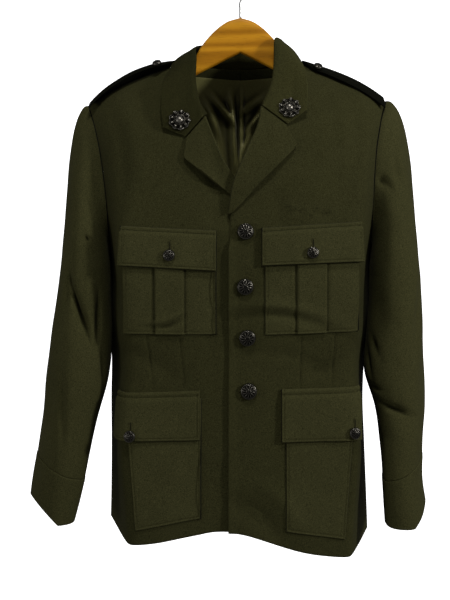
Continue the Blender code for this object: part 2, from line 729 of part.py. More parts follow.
def folded(side, rings):
    """Press the sleeve's folds into rings of points, towards their middles."""
    angle = np.linspace(0, 2 * math.pi, SLEEVE_SIDES, endpoint=False)
    depth = np.zeros(rings.shape[:2])
    for fold in SLEEVE_FOLDS[side]:
        turn = (angle - math.radians(fold.angle) + math.pi) % (2 * math.pi) - math.pi
        around = FOLD_REACH * turn[None, :]
        down = fold.z - rings[..., 2]
        lean = math.radians(fold.lean)
        along = down * math.cos(lean) + around * math.sin(lean)
        across = around * math.cos(lean) - down * math.sin(lean)
        depth += fold.depth * np.exp(-(along / fold.length) ** 2 - (across / fold.width) ** 2)
    inwards = rings.mean(axis=1, keepdims=True) - rings
    inwards[..., 2] = 0
    inwards /= np.linalg.norm(inwards, axis=2, keepdims=True)
    return rings + inwards * depth[..., None]


def ring_normals(rings):
    """Unit normals of rings of points, away from their middles."""
    normals = grid_normals(rings, ring=True)
    return normals * np.sign(np.sum(normals * (rings - rings.mean(axis=1, keepdims=True))))


def strip_of_rings(rings, first, count):
    """Part of each ring, from one of its points on, with half a seam's gap left at both ends."""
    strip = np.take(rings, np.arange(first, first + count), axis=1, mode="wrap")
    for end, beside in ((0, 1), (-1, -2)):
        inwards = strip[:, beside] - strip[:, end]
        inwards /= np.linalg.norm(inwards, axis=1, keepdims=True)
        strip[:, end] += inwards * SEAM / 2
    return strip


def make_sleeve(side):
    """The top sleeve, and the under sleeve between the two seams down the arm."""
    head = sleeve_head(side)
    first = np.full(SLEEVE_SIDES, float(SLEEVE[side][0].z))
    arm = lower_rings(side, first, cuff_seam_z(side), SLEEVE_ROWS)
    outer = folded(side, np.concatenate([head, arm[1:]]))
    inner = outer - ring_normals(outer) * WOOL
    start, end = (round(seam / 360 * SLEEVE_SIDES) for seam in SLEEVE_SEAMS)
    under_count = end - start + 1
    top_count = SLEEVE_SIDES - under_count + 2
    for name, at, count in (("sleeve_top_", end, top_count), ("sleeve_under_", start, under_count)):
        layers = [strip_of_rings(rings, at, count) for rings in (outer, inner)]
        cloth(name + SIDE_NAMES[side], *layers, "wool")


def make_cuff(side):
    angle = np.linspace(0, 2 * math.pi, SLEEVE_SIDES, endpoint=False)
    rise = np.clip(np.cos(angle - math.radians(CUFF_LIFT_ANGLE[side])), 0, 1)
    foot = SLEEVE[side][-1].z + CUFF_LIFT[side] * rise
    outer = folded(side, lower_rings(side, cuff_seam_z(side) - SEAM, foot, CUFF_ROWS))
    normals = ring_normals(outer)
    outer = outer + normals * CUFF_STEP
    return cloth("cuff_" + SIDE_NAMES[side], outer, outer - normals * DOUBLED, "wool", ring=True)


# ---------------------------------------------------------------- collar and lapels

COLLAR_COLUMNS = 27
LAPEL_ROWS, LAPEL_COLUMNS = 11, 6


def clear_of_body(points, gap):
    """Move points that are below the shoulder ridge out of the fronts or backs."""
    moved = points.copy()
    below = points[..., 2] < ridge_z(points[..., 0])
    front = front_y(points[..., 0], points[..., 2]) - gap
    back = back_y(points[..., 0], points[..., 2]) + gap
    ahead = below & (points[..., 1] < 0)
    behind = below & (points[..., 1] >= 0)
    moved[..., 1] = np.where(ahead, np.minimum(points[..., 1], front), moved[..., 1])
    moved[..., 1] = np.where(behind, np.maximum(points[..., 1], back), moved[..., 1])
    return moved


def collar_lines():
    """The collar's edge, fold and foot as smooth curves with matching points."""
    stations = np.linspace(0, len(COLLAR) - 1, COLLAR_COLUMNS)
    knots = np.arange(len(COLLAR))
    table = np.array(COLLAR, float)
    read = [smooth(knots, table[:, k], stations) for k in range(table.shape[1])]
    edge, fold, foot = (np.stack(read[k:k + 3], axis=1) for k in (0, 3, 6))
    return edge, fold, foot, read[9]


def make_collar():
    """Rows run from the edge of the fall, over the fold, to the foot of the stand."""
    edge, fold, foot, notch = collar_lines()
    neck = np.array([np.mean(foot[:, 0]), 0, 0])
    away = fold - neck
    away[:, 2] = 0
    away /= np.linalg.norm(away, axis=1, keepdims=True)
    leaf = []
    corner = np.linspace(NOTCH_SHARE[RIGHT], NOTCH_SHARE[LEFT], COLLAR_COLUMNS)
    for share, hang in ((0 * corner, 0), (corner / 2, 0.5), (corner, 1), ((1 + corner) / 2, 0.5)):
        row = edge + (fold - edge) * share[:, None]
        row = row + away * LEAF_BULGE * np.sin(math.pi * share)[:, None]
        row[:, 2] -= notch * hang
        leaf.append(clear_of_body(row, DOUBLED + 1.3))
    crest = fold.copy()
    shoulder = fold + away * 3.2
    shoulder[:, 2] -= 1.0
    inside = fold - away * 1.2
    inside[:, 2] -= 4.0 * (1 - notch / notch.max())
    stand = []
    for share in (0.5, 1.0):
        row = inside + (foot - inside) * share
        stand.append(row - away * (2.8 if share == 1.0 else 1.0))
    outer = np.array(leaf + [shoulder, crest, inside] + stand)
    outside = np.zeros_like(outer)
    outside[:3] = away
    return wall("collar", outer, DOUBLED, outside, "wool")


def make_lapel(side):
    """Rows run from the gorge seam down to the break; columns from the roll to the far edge."""
    roll = soft_line(LAPEL_ROLL[side], LAPEL_ROWS)
    far = soft_line(LAPEL_EDGE[side], LAPEL_ROWS)
    shares = np.linspace(0, 1, LAPEL_COLUMNS)
    plan = roll[:, None] + (far - roll)[:, None] * shares[None, :, None]
    down = np.linspace(0, 1, LAPEL_ROWS)
    stand = DOUBLED + 1.0 + 5.0 * np.outer(np.sin(np.pi * np.clip(down * 0.9 + 0.05, 0, 1)),
                                           (1 - shares) ** 1.2)
    over = raised(front_y, plan, stand, -1)
    inward = -side
    tuck = over[:, :1].copy()
    tuck[..., 0] += inward * 1.6
    tuck[..., 1] += stand[:, :1] + 1.0
    outer = np.concatenate([tuck, over], axis=1)
    if side == RIGHT:
        outer = tuck_under(outer, UNDER_TUCK, LAPEL_TUCK_LEAD)
    return wall("lapel_" + SIDE_NAMES[side], outer, DOUBLED, np.array([0, -1.0, 0]), "wool")


# ---------------------------------------------------------------- pockets, flaps and straps

def pocket_plan(side, pocket, columns, rows):
    """The plan of a bag or flap: rows from its top to its foot."""
    across = np.asarray(columns, float)
    down = np.linspace(0, 1, rows)[:, None]
    outer_x = pocket.outer_x + (pocket.outer_foot_x - pocket.outer_x) * down
    x = side * (pocket.inner_x + (outer_x - pocket.inner_x) * across)
    top = pocket.top_inner + (pocket.top_outer - pocket.top_inner) * across
    foot = pocket.foot_inner + (pocket.foot_outer - pocket.foot_inner) * across
    return np.stack([x, top + (foot - top) * down], axis=-1)


def corner_ease(plan):
    """How much further a pocket or flap stands off where the front turns its corner."""
    corner = column(BODY, "front_corner", plan[..., 1])
    return CORNER_EASE * np.clip(1 - (corner - np.abs(plan[..., 0])) / 40, 0, 1)


def shares(count, closer=1.35):
    """Places from 0 to 1 that lie closer together towards the front's corner."""
    return 1 - (1 - np.linspace(0, 1, count)) ** closer


def make_chest_pocket(side):
    """A patch bag whose middle is a raised box pleat."""
    bag = CHEST_BAG[side]
    width = bag.outer_x - bag.inner_x
    half = PLEAT_WIDTH / 2 / width
    step = 1.2 / width
    beside = [0, (0.5 - half) / 2, 0.5 - half - step]
    pleat = [0.5 - half, 0.5 - half / 3, 0.5 + half / 3, 0.5 + half]
    beyond = list(0.5 + half + step + (0.5 - half - step) * shares(6))
    places = beside + pleat + beyond
    lift = np.array([PLEAT_RAISE if place in pleat else 0 for place in places])
    plan = pocket_plan(side, bag, places, 7)
    ease = corner_ease(plan)
    under = raised(front_y, plan, SEAM + ease, -1)
    over = raised(front_y, plan, SEAM + BAG_WALL + ease + lift, -1)
    return cloth("chest_pocket_" + SIDE_NAMES[side], over, under, "wool")


def make_lower_pocket(side):
    plan = pocket_plan(side, LOWER_BAG[side], shares(11), 9)
    ease = corner_ease(plan)
    under = raised(front_y, plan, SEAM + ease, -1)
    over = raised(front_y, plan, SEAM + BAG_WALL + ease, -1)
    return cloth("lower_pocket_" + SIDE_NAMES[side], over, under, "wool")


def make_flap(name, side, flap, stand):
    """A flap that is sewn down along its top and stands off towards its foot."""
    rows = 6
    plan = pocket_plan(side, flap, shares(11), rows)
    down = np.linspace(0, 1, rows)[:, None]
    lift = SEAM + stand * np.minimum(down * (rows - 1), 1) + 0.6 * down + corner_ease(plan)
    under = raised(front_y, plan, lift, -1)
    over = raised(front_y, plan, lift + DOUBLED, -1)
    return cloth(name + SIDE_NAMES[side], over, under, "wool")


def make_strap(side):
    """A strap that arches over the shoulder, from its point by the collar to the armhole."""
    table = STRAP[side]
    x = evenly(np.array([[row.x] for row in table]), 11)[:, 0]
    lift = column(table, "lift", x, key="x")
    half = column(table, "half_width", x, key="x")
    widest = max(row.half_width for row in table)
    across = np.linspace(-1, 1, 7)
    y = half[:, None] * across
    z = (ridge_z(x) + lift)[:, None] - STRAP_FALL[side] * (y / widest) ** 2
    outer = np.stack([np.broadcast_to(side * x[:, None], y.shape), y, z + DOUBLED], axis=-1)
    return wall("strap_" + SIDE_NAMES[side], outer, DOUBLED, np.array([0, 0, 1.0]), "strap_wool")


LINING_EASE = 4.0         # the lining hangs this far inside the backs,
LINING_TOP_EASE = 2.6     # and is sewn close to them along its top


def make_lining():
    """The back lining, from just under the neck down inside both backs."""
    rows, columns, reach = 18, 12, 190.0
    across = np.linspace(-1, 1, DENSE)
    levels = np.linspace(0, 1, rows) ** 0.85
    plan = []
    for up in levels:
        width = reach + (150.0 - reach) * up ** 3
        x = across * width
        top = np.minimum(ridge_z(x) - 14, -168.0)
        foot = HEM_Z + 30
        plan.append(np.stack([x, foot + (top - foot) * up], axis=1))
    base = spaced_rows(back_y, np.array(plan), columns)
    normals = grid_normals(base, ring=False)
    normals *= np.sign(np.sum(normals[..., 1]))
    near_top = (levels ** 16)[:, None, None]
    apart = LINING_EASE + (LINING_TOP_EASE - LINING_EASE) * near_top
    outer = base - normals * (WOOL + apart)
    inner = base - normals * (WOOL + apart + SATIN)
    return cloth("lining_back", outer, inner, "satin")


# ---------------------------------------------------------------- buttons and badges

def rest_on(carrier, x, z, radius):
    """Where a disc rests on the front of a piece: the middle of its back, and the way it faces."""
    mesh = carrier.data
    tree = BVHTree.FromPolygons([v.co / MM for v in mesh.vertices],
                                [tuple(p.vertices) for p in mesh.polygons])
    rim = [(math.cos(k * math.pi / 6), math.sin(k * math.pi / 6)) for k in range(12)]
    hits = []
    for reach in (0, 0.5 * radius, radius):
        for across, up in rim:
            start = Vector((x + reach * across, -400, z + reach * up))
            place = tree.ray_cast(start, Vector((0, 1, 0)))[0]
            if place is not None:
                hits.append(place)
    points = np.array(hits)
    middle = points.mean(axis=0)
    normal = np.linalg.svd(points - middle)[2][2]
    normal *= -np.sign(normal[1])
    height = np.max((points - middle) @ normal) + SEAM
    return Vector(middle + normal * height), Vector(normal)


def button_profile(radius, dome):
    """A shanked button: its foot, stem, back, rim and dome."""
    stem = radius * STEM_SHARE
    top = STEM_HEIGHT + 1.0 + dome
    return [(0, 0), (stem, 0), (stem, STEM_HEIGHT), (radius * 0.92, STEM_HEIGHT + 0.4),
            (radius, STEM_HEIGHT + 1.5), (radius * 0.72, top - dome * 0.28),
            (radius * 0.38, top - dome * 0.05), (0, top)]


def make_button(name, radius, dome, seat, normal, sides=BUTTON_SIDES):
    return seat_turned(name, button_profile(radius, dome), sides, seat, normal, "bronze")


def make_front_buttons(carrier):
    for number, place in enumerate(FRONT_BUTTONS, start=1):
        seat, normal = rest_on(carrier, place.x, place.z, FRONT_BUTTON_RADIUS * STEM_SHARE)
        make_button("front_button_%d" % number, FRONT_BUTTON_RADIUS, 7.0, seat, normal)


def make_strap_buttons():
    """A button near the point of each strap, square to the strap's slope."""
    places = {RIGHT: (135, -20.0), LEFT: (126, -17.0)}
    for side, (x, y) in places.items():
        widest = max(row.half_width for row in STRAP[side])
        lift = float(column(STRAP[side], "lift", x, key="x"))
        crest = float(ridge_z(x)) + lift + DOUBLED - STRAP_FALL[side] * (y / widest) ** 2
        slope = 2 * STRAP_FALL[side] * y / widest ** 2
        normal = Vector((side * 0.3, slope, 1)).normalized()
        stem = STRAP_BUTTON_RADIUS * STEM_SHARE
        seat = Vector((side * x, y, crest)) + normal * (SEAM + 0.12 * stem)
        make_button("strap_button_" + SIDE_NAMES[side], STRAP_BUTTON_RADIUS, 5.0, seat, normal, 10)


def make_badge(side, collar):
    """A round badge with a petalled rim and a plain boss, on the fall of the collar."""
    sides = BADGE_PETALS * 2

    def petals(level, k):
        return 1.0 - 0.12 * (k % 2) if level <= 2 else 1.0

    radius = BADGE_RADIUS
    profile = [(0, 0), (radius, 0), (radius, 1.6), (radius * 0.62, 2.4), (radius * 0.46, 2.0),
               (radius * 0.40, 4.4), (radius * 0.2, 6.2), (0, 6.8)]
    place = BADGES[side]
    seat, normal = rest_on(collar, place.x, place.z, radius)
    return seat_turned("badge_" + SIDE_NAMES[side], profile, sides, seat, normal, "bronze", petals)


# ---------------------------------------------------------------- hanger

def make_hanger():
    """A flat wooden hanger with rounded edges, lofted from one end to the other."""
    Corner = namedtuple("Corner", "across below_top above_bottom")
    half = [Corner(0.3, 0, None), Corner(0.78, 0.45, None), Corner(1, 1.1, None),
            Corner(1, None, 0.5), Corner(0.5, None, 0)]
    section = half + [corner._replace(across=-corner.across) for corner in reversed(half)]
    places = [0.0, 16.0, 31.0, 46.0, 58.0, 70.0, 80.0, 90.0, 105.0, 130.0, 155.0, 180.0, 200.0, 212.0]
    stations = [-x for x in places[:0:-1]] + places
    rings = []
    for x in stations:
        row = {name: float(column(ARMS, name, abs(x), key="x")) for name in Arm._fields[1:]}
        thick = row["half_thickness"]
        ring = []
        for corner in section:
            if corner.above_bottom is None:
                z = row["top"] - corner.below_top * thick
            else:
                z = row["bottom"] + corner.above_bottom * thick
            ring.append((x, row["forward"] + thick * corner.across, z))
        rings.append(ring)
    return loft("hanger", np.array(rings), "wood")


def loft(name, rings, look):
    """A solid through rings of points, with flat ends."""
    count, sides = rings.shape[:2]
    faces = []
    for row in range(count - 1):
        for k in range(sides):
            after = (k + 1) % sides
            faces.append([row * sides + k, row * sides + after,
                          (row + 1) * sides + after, (row + 1) * sides + k])
    faces.append(list(range(sides)))
    faces.append(list(range((count - 1) * sides, count * sides)))
    return solid(name, rings.reshape(-1, 3), faces, look)


def make_hook():
    """A wire hook: a stem, and a bend whose inside top is the origin."""
    radius = HOOK_INNER + HOOK_WIRE / 2
    centre_z = -HOOK_INNER
    foot = float(ARMS[0].top) + SEAM
    points = [(0, 0, foot), (0, 0, foot + 12), (0, 0, foot + 24)]
    for degrees in range(-78, HOOK_OPENING_ANGLE + 1, 12):
        angle = math.radians(degrees)
        points.append((radius * math.cos(angle), 0, centre_z + radius * math.sin(angle)))
    line = soft_line(points, 24)
    ahead = np.gradient(line, axis=0)
    ahead /= np.linalg.norm(ahead, axis=1, keepdims=True)
    rings = []
    for place, way in zip(line, ahead):
        across = np.cross(way, (0, 1, 0))
        ring = []
        for k in range(HOOK_SIDES):
            angle = 2 * math.pi * k / HOOK_SIDES
            ring.append(place + HOOK_WIRE / 2 * (across * math.cos(angle)
                                                 + np.array([0, 1, 0]) * math.sin(angle)))
        rings.append(ring)
    return loft("hook", np.array(rings), "steel")


# ---------------------------------------------------------------- the whole tunic

def main():
    for old in list(bpy.data.objects):
        bpy.data.objects.remove(old, do_unlink=True)
    collar = make_collar()
    for side in (RIGHT, LEFT):
        name = SIDE_NAMES[side]
        front = make_front(side)
        make_back(side)
        make_sleeve(side)
        make_cuff(side)
        make_lapel(side)
        make_chest_pocket(side)
        make_lower_pocket(side)
        make_strap(side)
        chest_flap = make_flap("chest_flap_", side, CHEST_FLAP[side], CHEST_FLAP_STAND)
        lower_flap = make_flap("lower_flap_", side, LOWER_FLAP[side], LOWER_FLAP_STAND)
        for carrier, kind, place in ((chest_flap, "chest", CHEST_BUTTONS[side]),
                                     (lower_flap, "lower", LOWER_BUTTONS[side])):
            stem = POCKET_BUTTON_RADIUS * STEM_SHARE
            seat, normal = rest_on(carrier, place.x, place.z, stem)
            make_button(kind + "_button_" + name, POCKET_BUTTON_RADIUS, 5.0, seat, normal, 10)
        make_badge(side, collar)
    make_front_buttons(front)
    make_strap_buttons()
    make_lining()
    make_hanger()
    make_hook()


main()
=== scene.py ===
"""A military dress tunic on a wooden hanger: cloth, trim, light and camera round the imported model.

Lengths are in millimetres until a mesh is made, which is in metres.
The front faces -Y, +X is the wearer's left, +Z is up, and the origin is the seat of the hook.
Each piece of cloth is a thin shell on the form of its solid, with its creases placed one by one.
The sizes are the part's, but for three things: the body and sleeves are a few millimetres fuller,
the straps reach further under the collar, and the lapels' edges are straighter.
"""
import math
from collections import namedtuple

import bmesh
import bpy
import numpy as np
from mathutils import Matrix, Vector
from mathutils.bvhtree import BVHTree


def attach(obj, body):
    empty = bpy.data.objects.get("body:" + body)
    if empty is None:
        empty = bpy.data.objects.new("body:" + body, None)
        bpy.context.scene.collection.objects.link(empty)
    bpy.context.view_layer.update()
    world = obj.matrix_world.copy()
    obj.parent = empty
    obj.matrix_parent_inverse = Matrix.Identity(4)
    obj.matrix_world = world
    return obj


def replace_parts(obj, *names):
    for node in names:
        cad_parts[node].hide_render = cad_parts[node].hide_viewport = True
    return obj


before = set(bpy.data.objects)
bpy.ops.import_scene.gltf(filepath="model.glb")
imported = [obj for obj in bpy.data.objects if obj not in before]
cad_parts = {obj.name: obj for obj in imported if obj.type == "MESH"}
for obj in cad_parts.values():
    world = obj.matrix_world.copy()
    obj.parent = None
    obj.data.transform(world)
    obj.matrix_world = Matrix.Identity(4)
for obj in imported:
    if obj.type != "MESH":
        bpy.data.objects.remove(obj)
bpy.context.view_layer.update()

MM = 0.001
SEAM = 0.3                # gap between pieces that are sewn or rest together
WOOL = 2.0                # wall of the tunic cloth
DOUBLED = 2.6             # wall of a lapel, flap, collar or strap, which is two layers
SATIN = 1.0               # wall of the lining
DENSE = 400               # samples along a row before it is spaced evenly
RIGHT, LEFT = -1, 1       # the wearer's sides, as signs of X
SIDE_NAMES = {RIGHT: "right", LEFT: "left"}
TOWARDS = np.array([0, -1.0, 0])     # out of the front


def named(kind, *rows):
    """The rows of a table, each with its columns named."""
    return [kind(*row) for row in rows]


# ---- sizes of the body

HEM_Z = -923.0            # the level of the hem, apart from its rise at the front
HEM_LEAN = -0.045         # the left side hangs lower
HEM_RISE = 32.0           # how far the hem rises near the edge of the overlap,
HEM_RISE_X = -20.0        # its place,
HEM_RISE_WIDTH = {RIGHT: 100.0, LEFT: 90.0}    # and how far it spreads
UNDERARM_Z = -465.0
TIP_X = {RIGHT: 250.0, LEFT: 240.0}    # shoulder tips, where the sleeves are set in
SHOULDER_FALL = 85.0      # how fast the chest fills out below the middle of the shoulder ridge
TIP_FALL = 58.0           # and below the shoulder tip
NECK_FALL = 35.0          # and behind the neck
NECK_REACH = 110.0        # how far from the middle the neck is felt
RIDGE_ROUND = 12.0
FRONT_BOW = 5.0           # the middle of the front stands this far ahead of its corners
BACK_ROUND = 70.0

# Horizontal sections of the body: half width at the side seam and how much more of it the right
# side has, where the front's and the back's corners are, the Y of the front, side seam and back,
# and how soft the front corner is.
Body = namedtuple("Body", "z half_width right_extra front_corner back_corner front side back softness")
BODY = named(
    Body,
    (-940, 217, 4, 169, 178, -110, 44, 108, 18), (-870, 214, 5, 175, 176, -110, 40, 108, 20),
    (-780, 209, 8, 183, 170, -109, 30, 105, 26), (-700, 205, 11, 182, 164, -105, 20, 98, 30),
    (-645, 206.5, 8, 178, 160, -103, 14, 93, 34), (-570, 214, 3, 184, 165, -108, 8, 97, 38),
    (-470, 214.8, 0, 190, 175, -111, 4, 102, 40), (-400, 228, 0, 197, 186, -109, 0, 100, 46),
    (-300, 248, 0, 204, 200, -106, 0, 94, 50), (-120, 280, 0, 215, 212, -104, 0, 90, 50))

# The top of the shoulder, from the neck to the tip, and the armhole edge of the fronts and backs.
Point = namedtuple("Point", "x z")
RIDGE = named(Point, (0, -136), (60, -142), (90, -150), (120, -160), (155, -172), (195, -188.5),
              (222, -203), (240, -215), (250, -223), (262, -233))
Armhole = namedtuple("Armhole", "z front_x back_x")
ARMHOLE = {
    RIGHT: named(
        Armhole,
        (-465, 214.5, 214.5), (-450, 213, 212), (-425, 212, 208), (-390, 213, 206), (-340, 219, 209),
        (-300, 226, 217), (-265, 235, 230), (-242, 243, 241), (-223, 250, 250)),
    LEFT: named(
        Armhole,
        (-465, 214.5, 214.5), (-450, 212, 211), (-425, 211, 207), (-390, 211, 205), (-340, 213, 206),
        (-300, 217, 211), (-265, 224, 221), (-236, 232, 231), (-215, 240, 240)),
}

# The front edge of each front: the overlap, then the roll line of the lapel, then the neckline.
OVERLAP_X = {LEFT: -15.0, RIGHT: 34.0}
LAPEL_ROLL = {
    LEFT: named(Point, (33, -236), (29, -261), (10, -307), (-9, -354), (-18, -404)),
    RIGHT: named(Point, (-55, -251), (-41, -287), (-25, -324), (-11, -346), (6, -372), (32, -410)),
}
ROLL_SETBACK = 4.5        # a front's own edge lies this far outside the roll of its lapel
NECKLINE = {LEFT: named(Point, (60, -205), (77, -172), (84, -148.5)),
            RIGHT: named(Point, (-75, -220), (-86, -186), (-90, -150))}
BACK_NECK_DROP = 18.0     # the back neckline dips this far at the centre

# Lapels: the far edge, from the notch by the collar to the point, then down to the break.
LAPEL_EDGE = {
    LEFT: [(71, -264), (87, -296), (82, -305), (39, -348), (2, -388), (-12, -402)],
    RIGHT: [(-83, -285), (-87, -317), (-82, -322), (-49, -348), (-13, -376), (20, -404)],
}

# The collar, from its right end round the back of the neck to its left end: X, Y and Z of the edge
# of the fall, of the fold at the top, and of the foot of the stand, where it is sewn to the
# neckline. At its two ends the fall is cut down to the notch, which hangs below the line from its
# edge to the fold by the last number.
COLLAR = np.array([
    (-121, -86, -268, -56, -84, -249, -53, -72, -245, 26),
    (-125, -76, -232, -66, -66, -218, -66, -56, -224, 11),
    (-125, -52, -194, -72, -44, -183, -78, -38, -192, 2),
    (-117, -26, -169, -72, -24, -145, -87, -17, -166, 0),
    (-107, 4, -148, -74, 4, -125, -88, 2, -148, 0),
    (-88, 50, -164, -64, 34, -115, -74, 27, -150, 0),
    (-46, 80, -174, -35, 52, -111, -42, 41, -154, 0),
    (-4, 86, -176, -4, 58, -110, -4, 44, -153, 0),
    (38, 80, -171, 27, 52, -108, 34, 41, -152, 0),
    (76, 50, -158, 54, 34, -108, 66, 27, -146, 0),
    (95, 4, -144, 64, 4, -111, 83, 2, -145, 0),
    (102, -24, -158, 56, -20, -116, 80, -17, -159, 0),
    (105, -50, -178, 55, -34, -150, 71, -34, -182, 2),
    (106, -70, -208, 50, -54, -190, 58, -50, -208, 11),
    (104, -82, -240, 34, -80, -233, 36, -68, -230, 26),
], float)
LEAF_BULGE = 5.0          # the fall curves out by this much between its edge and the fold
NOTCH_SHARE = {RIGHT: 0.585, LEFT: 0.46}   # the notch's place across the fall, from its edge


# ---- curves through tables

def smooth(knots, values, at):
    """A cubic through a table's values, level with its neighbours' slopes, held at both ends."""
    knots = np.asarray(knots, float)
    values = np.asarray(values, float)
    at = np.clip(np.asarray(at, float), knots[0], knots[-1])
    slopes = np.gradient(values, knots)
    i = np.clip(np.searchsorted(knots, at, side="right") - 1, 0, len(knots) - 2)
    span = knots[i + 1] - knots[i]
    t = (at - knots[i]) / span
    rise = (3 - 2 * t) * t * t
    start = (1 - t) ** 2 * t * span * slopes[i]
    end = (t - 1) * t * t * span * slopes[i + 1]
    return values[i] * (1 - rise) + values[i + 1] * rise + start + end


def column(table, name, at, key="z"):
    """One column of a table as a smooth function of its key column."""
    ordered = sorted(table, key=lambda row: getattr(row, key))
    return smooth([getattr(row, key) for row in ordered], [getattr(row, name) for row in ordered], at)


def run_of(points):
    """How far along a polyline each of its points lies."""
    return np.concatenate([[0], np.cumsum(np.linalg.norm(np.diff(points, axis=0), axis=1))])


def evenly(points, count):
    """Points spaced evenly along a polyline."""
    run = run_of(points)
    at = np.linspace(0, run[-1], count)
    return np.stack([np.interp(at, run, values) for values in points.T], axis=1)


def soft_line(points, count):
    """A smooth curve through a few points, with its points spaced evenly."""
    points = np.array(points, float)
    run = run_of(points)
    at = np.linspace(0, run[-1], DENSE)
    return evenly(np.stack([smooth(run, values, at) for values in points.T], axis=1), count)


def crisp_line(points, count, soft=0.08):
    """A line through a few points whose corners stay crisp."""
    points = np.array(points, float)
    dense = [points[0]]
    for before, here, after in zip(points, points[1:], points[2:]):
        for t in np.linspace(0, 1, 6):
            a = here + (before - here) * soft
            b = here + (after - here) * soft
            dense.append((1 - t) ** 2 * a + 2 * t * (1 - t) * here + t * t * b)
    return evenly(np.array(dense + [points[-1]]), count)


def ease(share):
    """A soft step from 0 to 1."""
    share = np.clip(share, 0, 1)
    return share * share * (3 - 2 * share)


def hump(distance, width):
    """A soft bump, 1 in its middle."""
    return np.exp(-(distance / width) ** 2)


# ---- the body's surface

def ridge_z(x):
    """Height of the shoulder ridge."""
    return column(RIDGE, "z", np.abs(x), key="x")


def back_hem_z(x):
    """Height of the hem at the back, which meets the front's at the side seams."""
    return HEM_Z + HEM_LEAN * x


def hem_z(x):
    """Height of the hem at the front, which rises near the edge of the overlap."""
    beside = x - HEM_RISE_X
    width = np.where(beside < 0, HEM_RISE_WIDTH[RIGHT], HEM_RISE_WIDTH[LEFT])
    return back_hem_z(x) + HEM_RISE * hump(beside, width)


def body_half(x, z):
    """The body's half width at a height, on the side of x."""
    return column(BODY, "half_width", z) + np.where(np.asarray(x) < 0, column(BODY, "right_extra", z), 0)


def wall_y(x, z, edge, corner, softness, facing):
    """Y of the front (facing -1) or back (facing 1): flat to a corner, then slanting to the seam, and
    growing from nothing at the shoulder ridge."""
    half = body_half(x, z)
    side = column(BODY, "side", z)

    def bend(at):
        slant = side + (at - half) * (side - edge) / (half - corner)
        return 0.5 * (edge + slant - facing * np.sqrt((edge - slant) ** 2 + softness ** 2))

    across = np.minimum(np.abs(x), half)
    shape = bend(across) - (bend(half) - side) * (across / half) ** 4
    drop = np.maximum(ridge_z(x) - z, 0)
    fall = SHOULDER_FALL + (TIP_FALL - SHOULDER_FALL) * ease((np.abs(x) - 150) / 90)
    if facing > 0:
        fall = fall + (NECK_FALL - SHOULDER_FALL) * (1 - ease(np.abs(x) / NECK_REACH))
    return side + (shape - side) * (1 - np.exp(-np.sqrt(drop * (drop + RIDGE_ROUND)) / fall))


def front_y(x, z):
    """Y of the outside of the fronts."""
    corner = column(BODY, "front_corner", z)
    edge = column(BODY, "front", z) - FRONT_BOW * np.clip(1 - (x / corner) ** 2, 0, 1)
    return wall_y(x, z, edge, corner, column(BODY, "softness", z), -1)


def back_y(x, z):
    """Y of the outside of the backs."""
    return wall_y(x, z, column(BODY, "back", z), column(BODY, "back_corner", z), BACK_ROUND, 1)


def on_face(face, plan):
    """A point grid on the front or back from a plan of (x, z)."""
    return np.stack([plan[..., 0], face(plan[..., 0], plan[..., 1]), plan[..., 1]], axis=-1)


def spaced_rows(face, plan, count):
    """As on_face, with each row's points spaced evenly along the cloth."""
    return np.array([evenly(row, count) for row in on_face(face, plan)])


def four_sided(foot, top, near, far):
    """A plan of (x, z) that blends between its foot, top, near and far edges."""
    across = np.linspace(0, 1, len(foot))[None, :, None]
    up = np.linspace(0, 1, len(near))[:, None, None]
    edges = (1 - up) * foot + up * top + (1 - across) * near[:, None] + across * far[:, None]
    corners = (1 - up) * ((1 - across) * foot[0] + across * foot[-1])
    return edges - corners - up * ((1 - across) * top[0] + across * top[-1])


# ---- creases and seams of the cloth

# A crease on the front or back of the body: its middle, its lean from upright, which takes its
# lower end towards +X, half its length and width, and its height, which is below 0 for a trough.
# The last five of the front are where a badge was unpicked from the chest.
Crease = namedtuple("Crease", "x z lean length width height")
FRONT_CREASES = named(
    Crease,
    (-187, -330, 3, 90, 15, -3.0), (-160, -300, 8, 80, 16, 1.6), (-130, -225, 58, 60, 10, -1.6),
    (-60, -420, -12, 40, 16, -1.4), (-196, -520, 12, 60, 12, -2.2), (-27, -400, 2, 120, 13, -3.0),
    (-30, -580, 5, 100, 16, -2.0), (-150, -625, 70, 50, 12, -1.8), (-60, -820, -18, 80, 20, -2.2),
    (-120, -840, -35, 60, 16, 1.6), (150, -330, -6, 90, 16, -2.0), (182, -300, -4, 80, 12, -2.6),
    (110, -240, -60, 55, 10, -1.6), (60, -400, 14, 50, 14, -1.4), (197, -540, -10, 70, 12, -2.2),
    (70, -620, 78, 60, 10, -1.6), (30, -868, 50, 52, 15, -3.2), (62, -840, 46, 48, 14, 2.4),
    (130, -640, -72, 50, 12, -1.8), (52, -543, 86, 78, 9, 2.2), (60, -558, 84, 70, 8, -2.0),
    (-114, -566, -71, 24, 5, 1.8), (-108, -574, -70, 22, 5, -1.6), (80, -392, 62, 8, 2.6, 1.2),
    (92, -398, -70, 7, 2.6, -1.1), (104, -402, 84, 10, 2.6, 1.3), (121, -396, -55, 7, 2.6, 1.0),
    (132, -403, 80, 9, 2.6, -1.2))
BACK_CREASES = named(
    Crease,
    (-60, -250, 70, 70, 14, -2.2), (70, -262, -66, 60, 13, -2.4), (-165, -330, -10, 90, 15, -2.4),
    (168, -350, 8, 80, 15, -2.4), (-120, -470, -32, 80, 15, -2.2), (110, -480, 36, 76, 16, -2.4),
    (-80, -640, 82, 66, 11, -2.6), (60, -656, -80, 70, 12, -2.4), (-120, -780, 8, 110, 20, -2.4),
    (40, -800, -5, 100, 18, 2.6), (140, -790, -8, 110, 19, -2.4))
CREASE_DEPTH = 1.6        # what the heights of the creases are multiplied by

